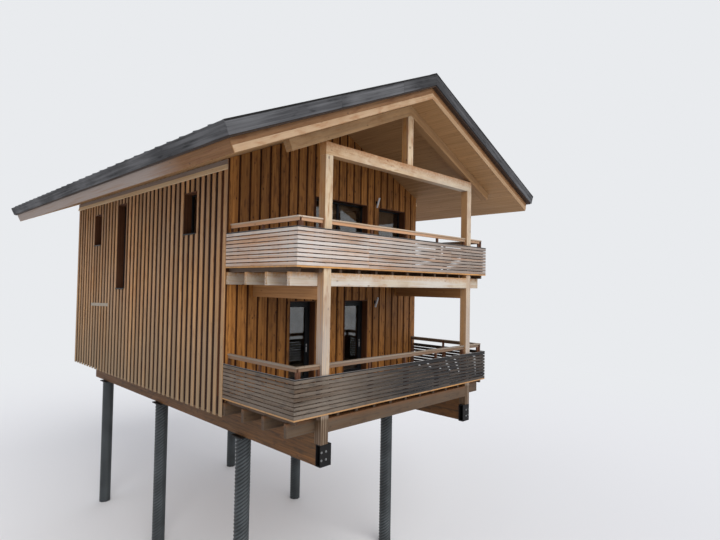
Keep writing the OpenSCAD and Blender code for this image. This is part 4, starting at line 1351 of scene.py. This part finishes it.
@dataclass
class Openings(Assembly):
    """Doors, windows and the entrance."""

    gasket_width: float = 0.006
    gasket_depth: float = 0.004
    lever_height: float = 1.02
    plate_half: float = 0.016
    plate_sheet: float = 0.006
    plate_reach: Span = (0.17, 0.06)
    keyhole_drop: float = 0.1
    keyhole_size: Span = (0.009, 0.009)
    leaf_half: float = 0.034
    leaf_edge: float = 0.0012
    entrance_frame: float = 0.07
    entrance_boards: int = 7
    entrance_setback: float = 0.012
    # Place of the knob's plate from the frame and the sill, and its half width and height
    knob_place: Span = (0.08, 1.05)
    knob_plate: Span = (0.02, 0.11)
    knob_rise: float = 0.03
    # Inner end, outer end and radius of the knob's neck and of the knob
    knob_rods: tuple[tuple[float, float, float], ...] = ((-0.01, 0.045, 0.011),
                                                         (0.03, 0.055, 0.027))

    def build(self) -> None:
        """Dresses frames, leaves and panes, and adds gaskets, plates and the entrance."""
        f = self.finishes
        dark = "anthracite_frame"
        for node in ("lower_door_frames", "upper_door_frames", "window_frames"):
            eased_node(node, dark, f.anthracite, SMALL_EDGE)
        dress(f.glass, "upper_door_glass", "window_glass", "left_door_glass", "right_door_glass")
        for side in ("left", "right"):
            body = f"{side}_balcony_door"
            eased_node(f"{side}_door_leaf", dark, f.anthracite, self.leaf_edge,
                       body)
            self.gaskets(f"{side}_door_glass", body)
            self.lever_plate(side, body)
        self.gaskets("upper_door_glass", HOUSE)
        self.gaskets("window_glass", HOUSE)
        self.entrance()

    def gaskets(self, node: str, body: str) -> None:
        """Runs a black gasket round each pane, on both faces."""
        work = Joinery(node + "_gaskets")
        g = self.gasket_width
        for low, high in islands(node):
            flat = 0 if high.x - low.x < high.y - low.y else 1
            wide = 1 - flat
            left, right = low[wide], high[wide]
            for face, out in ((low[flat], -1), (high[flat], 1)):
                for a, b, z0, z1 in ((left, right, low.z, low.z + g),
                                     (left, right, high.z - g, high.z),
                                     (left, left + g, low.z + g, high.z - g),
                                     (right - g, right, low.z + g, high.z - g)):
                    work.bar(spot(wide, a, face, z0),
                             spot(wide, b, face + out * self.gasket_depth, z1))
        work.piece("anthracite_frame", [self.finishes.gasket], body)

    def lever_plate(self, side: str, body: str) -> None:
        """Adds the lever's long plate and keyhole to a leaf."""
        leaf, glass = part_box(f"{side}_door_leaf"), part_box(f"{side}_door_glass")
        face = (glass[0].y + glass[1].y) / 2 - self.leaf_half
        x = (glass[1].x + leaf[1].x) / 2
        z = AT.lower_floor + self.lever_height
        work = Joinery(f"{side}_lever_plate")
        work.bar((x - self.plate_half, face - self.plate_sheet, z - self.plate_reach[0]),
                 (x + self.plate_half, face + JOINT, z + self.plate_reach[1]))
        hole, (proud, radius) = z - self.keyhole_drop, self.keyhole_size
        work.rod((x, face - proud, hole), (x, face, hole), radius, 20)
        work.ease(FINE_EDGE)
        work.piece("anthracite_frame", [self.finishes.brushed], body)

    def entrance(self) -> None:
        """Builds the entrance door from upright boards in a frame, with a round knob."""
        low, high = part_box("entrance_door")
        work, metal = Joinery("entrance_boards"), Joinery("entrance_fittings")
        face = self.entrance_frame
        work.surround((low, high), face, (low.y, high.y))
        step = (high.x - low.x - 2 * face) / self.entrance_boards
        for i in range(self.entrance_boards):
            x0 = low.x + face + i * step
            work.bar((x0 + 2 * JOINT, low.y, low.z),
                     (x0 + step - 2 * JOINT, high.y - self.entrance_setback, high.z - face))
        work.ease(EDGE, 71)
        work.piece("entrance_oak", [self.finishes.oak], stands_for=["entrance_door"])
        x, z = low.x + face + self.knob_place[0], low.z + self.knob_place[1]
        half, tall = self.knob_plate
        back = high.y - self.entrance_setback
        metal.bar((x - half, back, z - tall), (x + half, back + self.plate_sheet, z + tall))
        z += self.knob_rise
        for start, end, radius in self.knob_rods:
            metal.rod((x, high.y + start, z), (x, high.y + end, z), radius)
        metal.ease(SMALL_EDGE, segments=2)
        metal.piece("entrance_oak", [self.finishes.brushed])


@dataclass
class Lamps(Assembly):
    """Tilted tube lamps on square brackets."""

    rim: float = 0.006
    recess: float = 0.012
    tilt: float = math.radians(20)
    reach: float = 0.1
    half: float = 0.16
    arm: float = 0.022
    foot: tuple[float, float, float] = (0.04, 0.03, 0.06)

    def build(self) -> None:
        """Builds both lamps with rims and recessed ends."""
        work, brackets = Joinery("tube_lamps"), Joinery("lamp_brackets")
        axis = Vector((0, -math.sin(self.tilt), math.cos(self.tilt)))
        turn = Vector((0, 0, 1)).rotation_difference(axis).to_matrix().to_4x4()
        for low, high in islands("wall_lamps"):
            x, z = (low.x + high.x) / 2, (low.z + high.z) / 2
            radius = (high.x - low.x) / 2
            middle = Vector((x, high.y - self.reach, z))
            verts = bmesh.ops.create_cone(work.bm, cap_ends=True, segments=32, radius1=radius,
                                          radius2=radius, depth=2 * self.half)["verts"]
            faces = dict.fromkeys(f for v in verts for f in v.link_faces)
            caps = [f for f in faces if len(f.verts) > 4]
            bmesh.ops.inset_individual(work.bm, faces=caps, thickness=self.rim)
            inner = {v for cap in caps for v in cap.verts}
            for vert in inner:
                vert.co.z *= (self.half - self.recess) / self.half
            bmesh.ops.transform(work.bm, matrix=Matrix.Translation(middle) @ turn,
                                verts=list({*verts, *inner}))
            for wide, deep, tall in ((self.arm, self.reach, self.arm), self.foot):
                brackets.bar((x - wide, high.y - deep, z - tall), (x + wide, high.y, z + tall))
        work.piece("lamp_metal", [self.finishes.brushed], stands_for=["wall_lamps"])
        brackets.ease(SMALL_EDGE)
        brackets.piece("lamp_metal", [self.finishes.black_steel])


# Studio


@dataclass
class Studio:
    """Pale floor, soft light and the camera."""

    place: tuple[float, float, float] = (-9.801, -15.1945, 8.596)
    yaw: float = math.radians(45.370)
    pitch: float = math.radians(1.714)
    roll: float = math.radians(1.007)
    lens: float = 25.127
    sensor: float = 36.0
    farthest: float = 2000.0
    backdrop: str = "#e9ebee"
    ground: str = "#e6e6e6"
    sky: str = "#f4f6ff"
    sky_strength: float = 0.62
    # Name, direction, strength and width in degrees of each soft light
    suns: tuple[tuple[str, tuple[float, float, float], float, float], ...] = (
        ("key_light", (-0.25, -1.0, 0.75), 2.0, 50.0),
        ("side_light", (-1.0, 0.15, 0.55), 0.25, 60.0),
        ("rear_light", (0.7, 1.0, 0.6), 0.35, 60.0))
    floor_radius: float = 600.0
    fade: Span = (14.0, 45.0)

    def build(self) -> None:
        """Sets up camera, world, lights and floor."""
        scene = bpy.context.scene
        scene.view_settings.view_transform = "Standard"
        self.camera(scene)
        self.world(scene)
        for light in self.suns:
            self.sun(scene, *light)
        self.floor(scene)

    def camera(self, scene: Scene) -> None:
        """Places the camera as the photograph's."""
        ahead = Vector((math.sin(self.yaw), math.cos(self.yaw), 0))
        right = Vector((math.cos(self.yaw), -math.sin(self.yaw), 0))
        above = Vector((0, 0, 1))
        view = ahead * math.cos(self.pitch) + above * math.sin(self.pitch)
        lift = above * math.cos(self.pitch) - ahead * math.sin(self.pitch)
        x_axis = right * math.cos(self.roll) + lift * math.sin(self.roll)
        y_axis = lift * math.cos(self.roll) - right * math.sin(self.roll)
        data = bpy.data.cameras.new("camera")
        data.sensor_width = self.sensor
        data.lens = self.lens
        data.clip_end = self.farthest
        camera = bpy.data.objects.new("camera", data)
        scene.collection.objects.link(camera)
        matrix = Matrix((x_axis, y_axis, -view)).transposed().to_4x4()
        matrix.translation = Vector(self.place)
        camera.matrix_world = matrix
        scene.camera = camera

    @staticmethod
    def seen(tree: NodeTree) -> Value:
        """Tells rays of the camera, of gloss and through glass from those of the light."""
        rays = add(tree, "LightPath").outputs
        share = rays["Is Camera Ray"]
        for kind in ("Is Glossy Ray", "Is Transmission Ray"):
            share = add(tree, "Math", [share, rays[kind]], operation="MAXIMUM")
        return share

    def world(self, scene: Scene) -> None:
        """Lights the house evenly and shows a pale backdrop to camera, gloss and glass."""
        scene.world = bpy.data.worlds.new("studio")
        tree = empty_tree(scene.world)
        light = add(tree, "Background", [linear(self.sky), self.sky_strength])
        shown = add(tree, "Background", [linear(self.backdrop), 1.0])
        add(tree, "OutputWorld", [add(tree, "MixShader", [self.seen(tree), light, shown])])

    @staticmethod
    def sun(scene: Scene, name: str, towards: tuple[float, float, float], strength: float,
            angle: float) -> None:
        """Adds a soft distant light that comes from a direction."""
        data = bpy.data.lights.new(name, "SUN")
        data.energy = strength
        data.angle = math.radians(angle)
        lamp = bpy.data.objects.new(name, data)
        lamp.rotation_mode = "QUATERNION"
        lamp.rotation_quaternion = Vector(towards).to_track_quat("Z", "Y")
        scene.collection.objects.link(lamp)

    def floor(self, scene: Scene) -> None:
        """Lays a wide pale floor that fades into the backdrop."""
        bm = bmesh.new()
        bmesh.ops.create_circle(bm, cap_ends=True, radius=self.floor_radius, segments=64)
        mesh = bpy.data.meshes.new("studio_floor")
        bm.to_mesh(mesh)
        bm.free()
        made = bpy.data.objects.new("studio_floor", mesh)
        scene.collection.objects.link(made)
        material = bpy.data.materials.new("studio floor")
        tree = empty_tree(material)
        place = add(tree, "TexCoord").outputs["Object"]
        away = add(tree, "VectorMath", [place], operation="LENGTH")
        far = add(tree, "MapRange", [away, *self.fade], interpolation_type="SMOOTHSTEP")
        share = add(tree, "Math", [far, self.seen(tree)], operation="MULTIPLY")
        matte = add(tree, "BsdfPrincipled", {"Base Color": linear(self.ground), "Roughness": 0.9,
                                             "Specular IOR Level": 0.1})
        glow = add(tree, "Emission", [linear(self.backdrop), 1.0])
        add(tree, "OutputMaterial", [add(tree, "MixShader", [share, matte, glow])])
        mesh.materials.append(material)


def main() -> None:
    """Builds the house from the ground up, then the studio."""
    logging.basicConfig(level=logging.INFO, format="%(name)s %(message)s")
    finishes = Finishes()
    parts = [Foundation(finishes), OpenFrame(finishes), Walls(finishes), Balcony(finishes, False),
             Balcony(finishes, True), Roof(finishes), Openings(finishes), Lamps(finishes)]
    for part in parts:
        part.build()
        LOG.info("built %s", type(part).__name__)
    Studio().build()


if __name__ == "__main__":
    main()
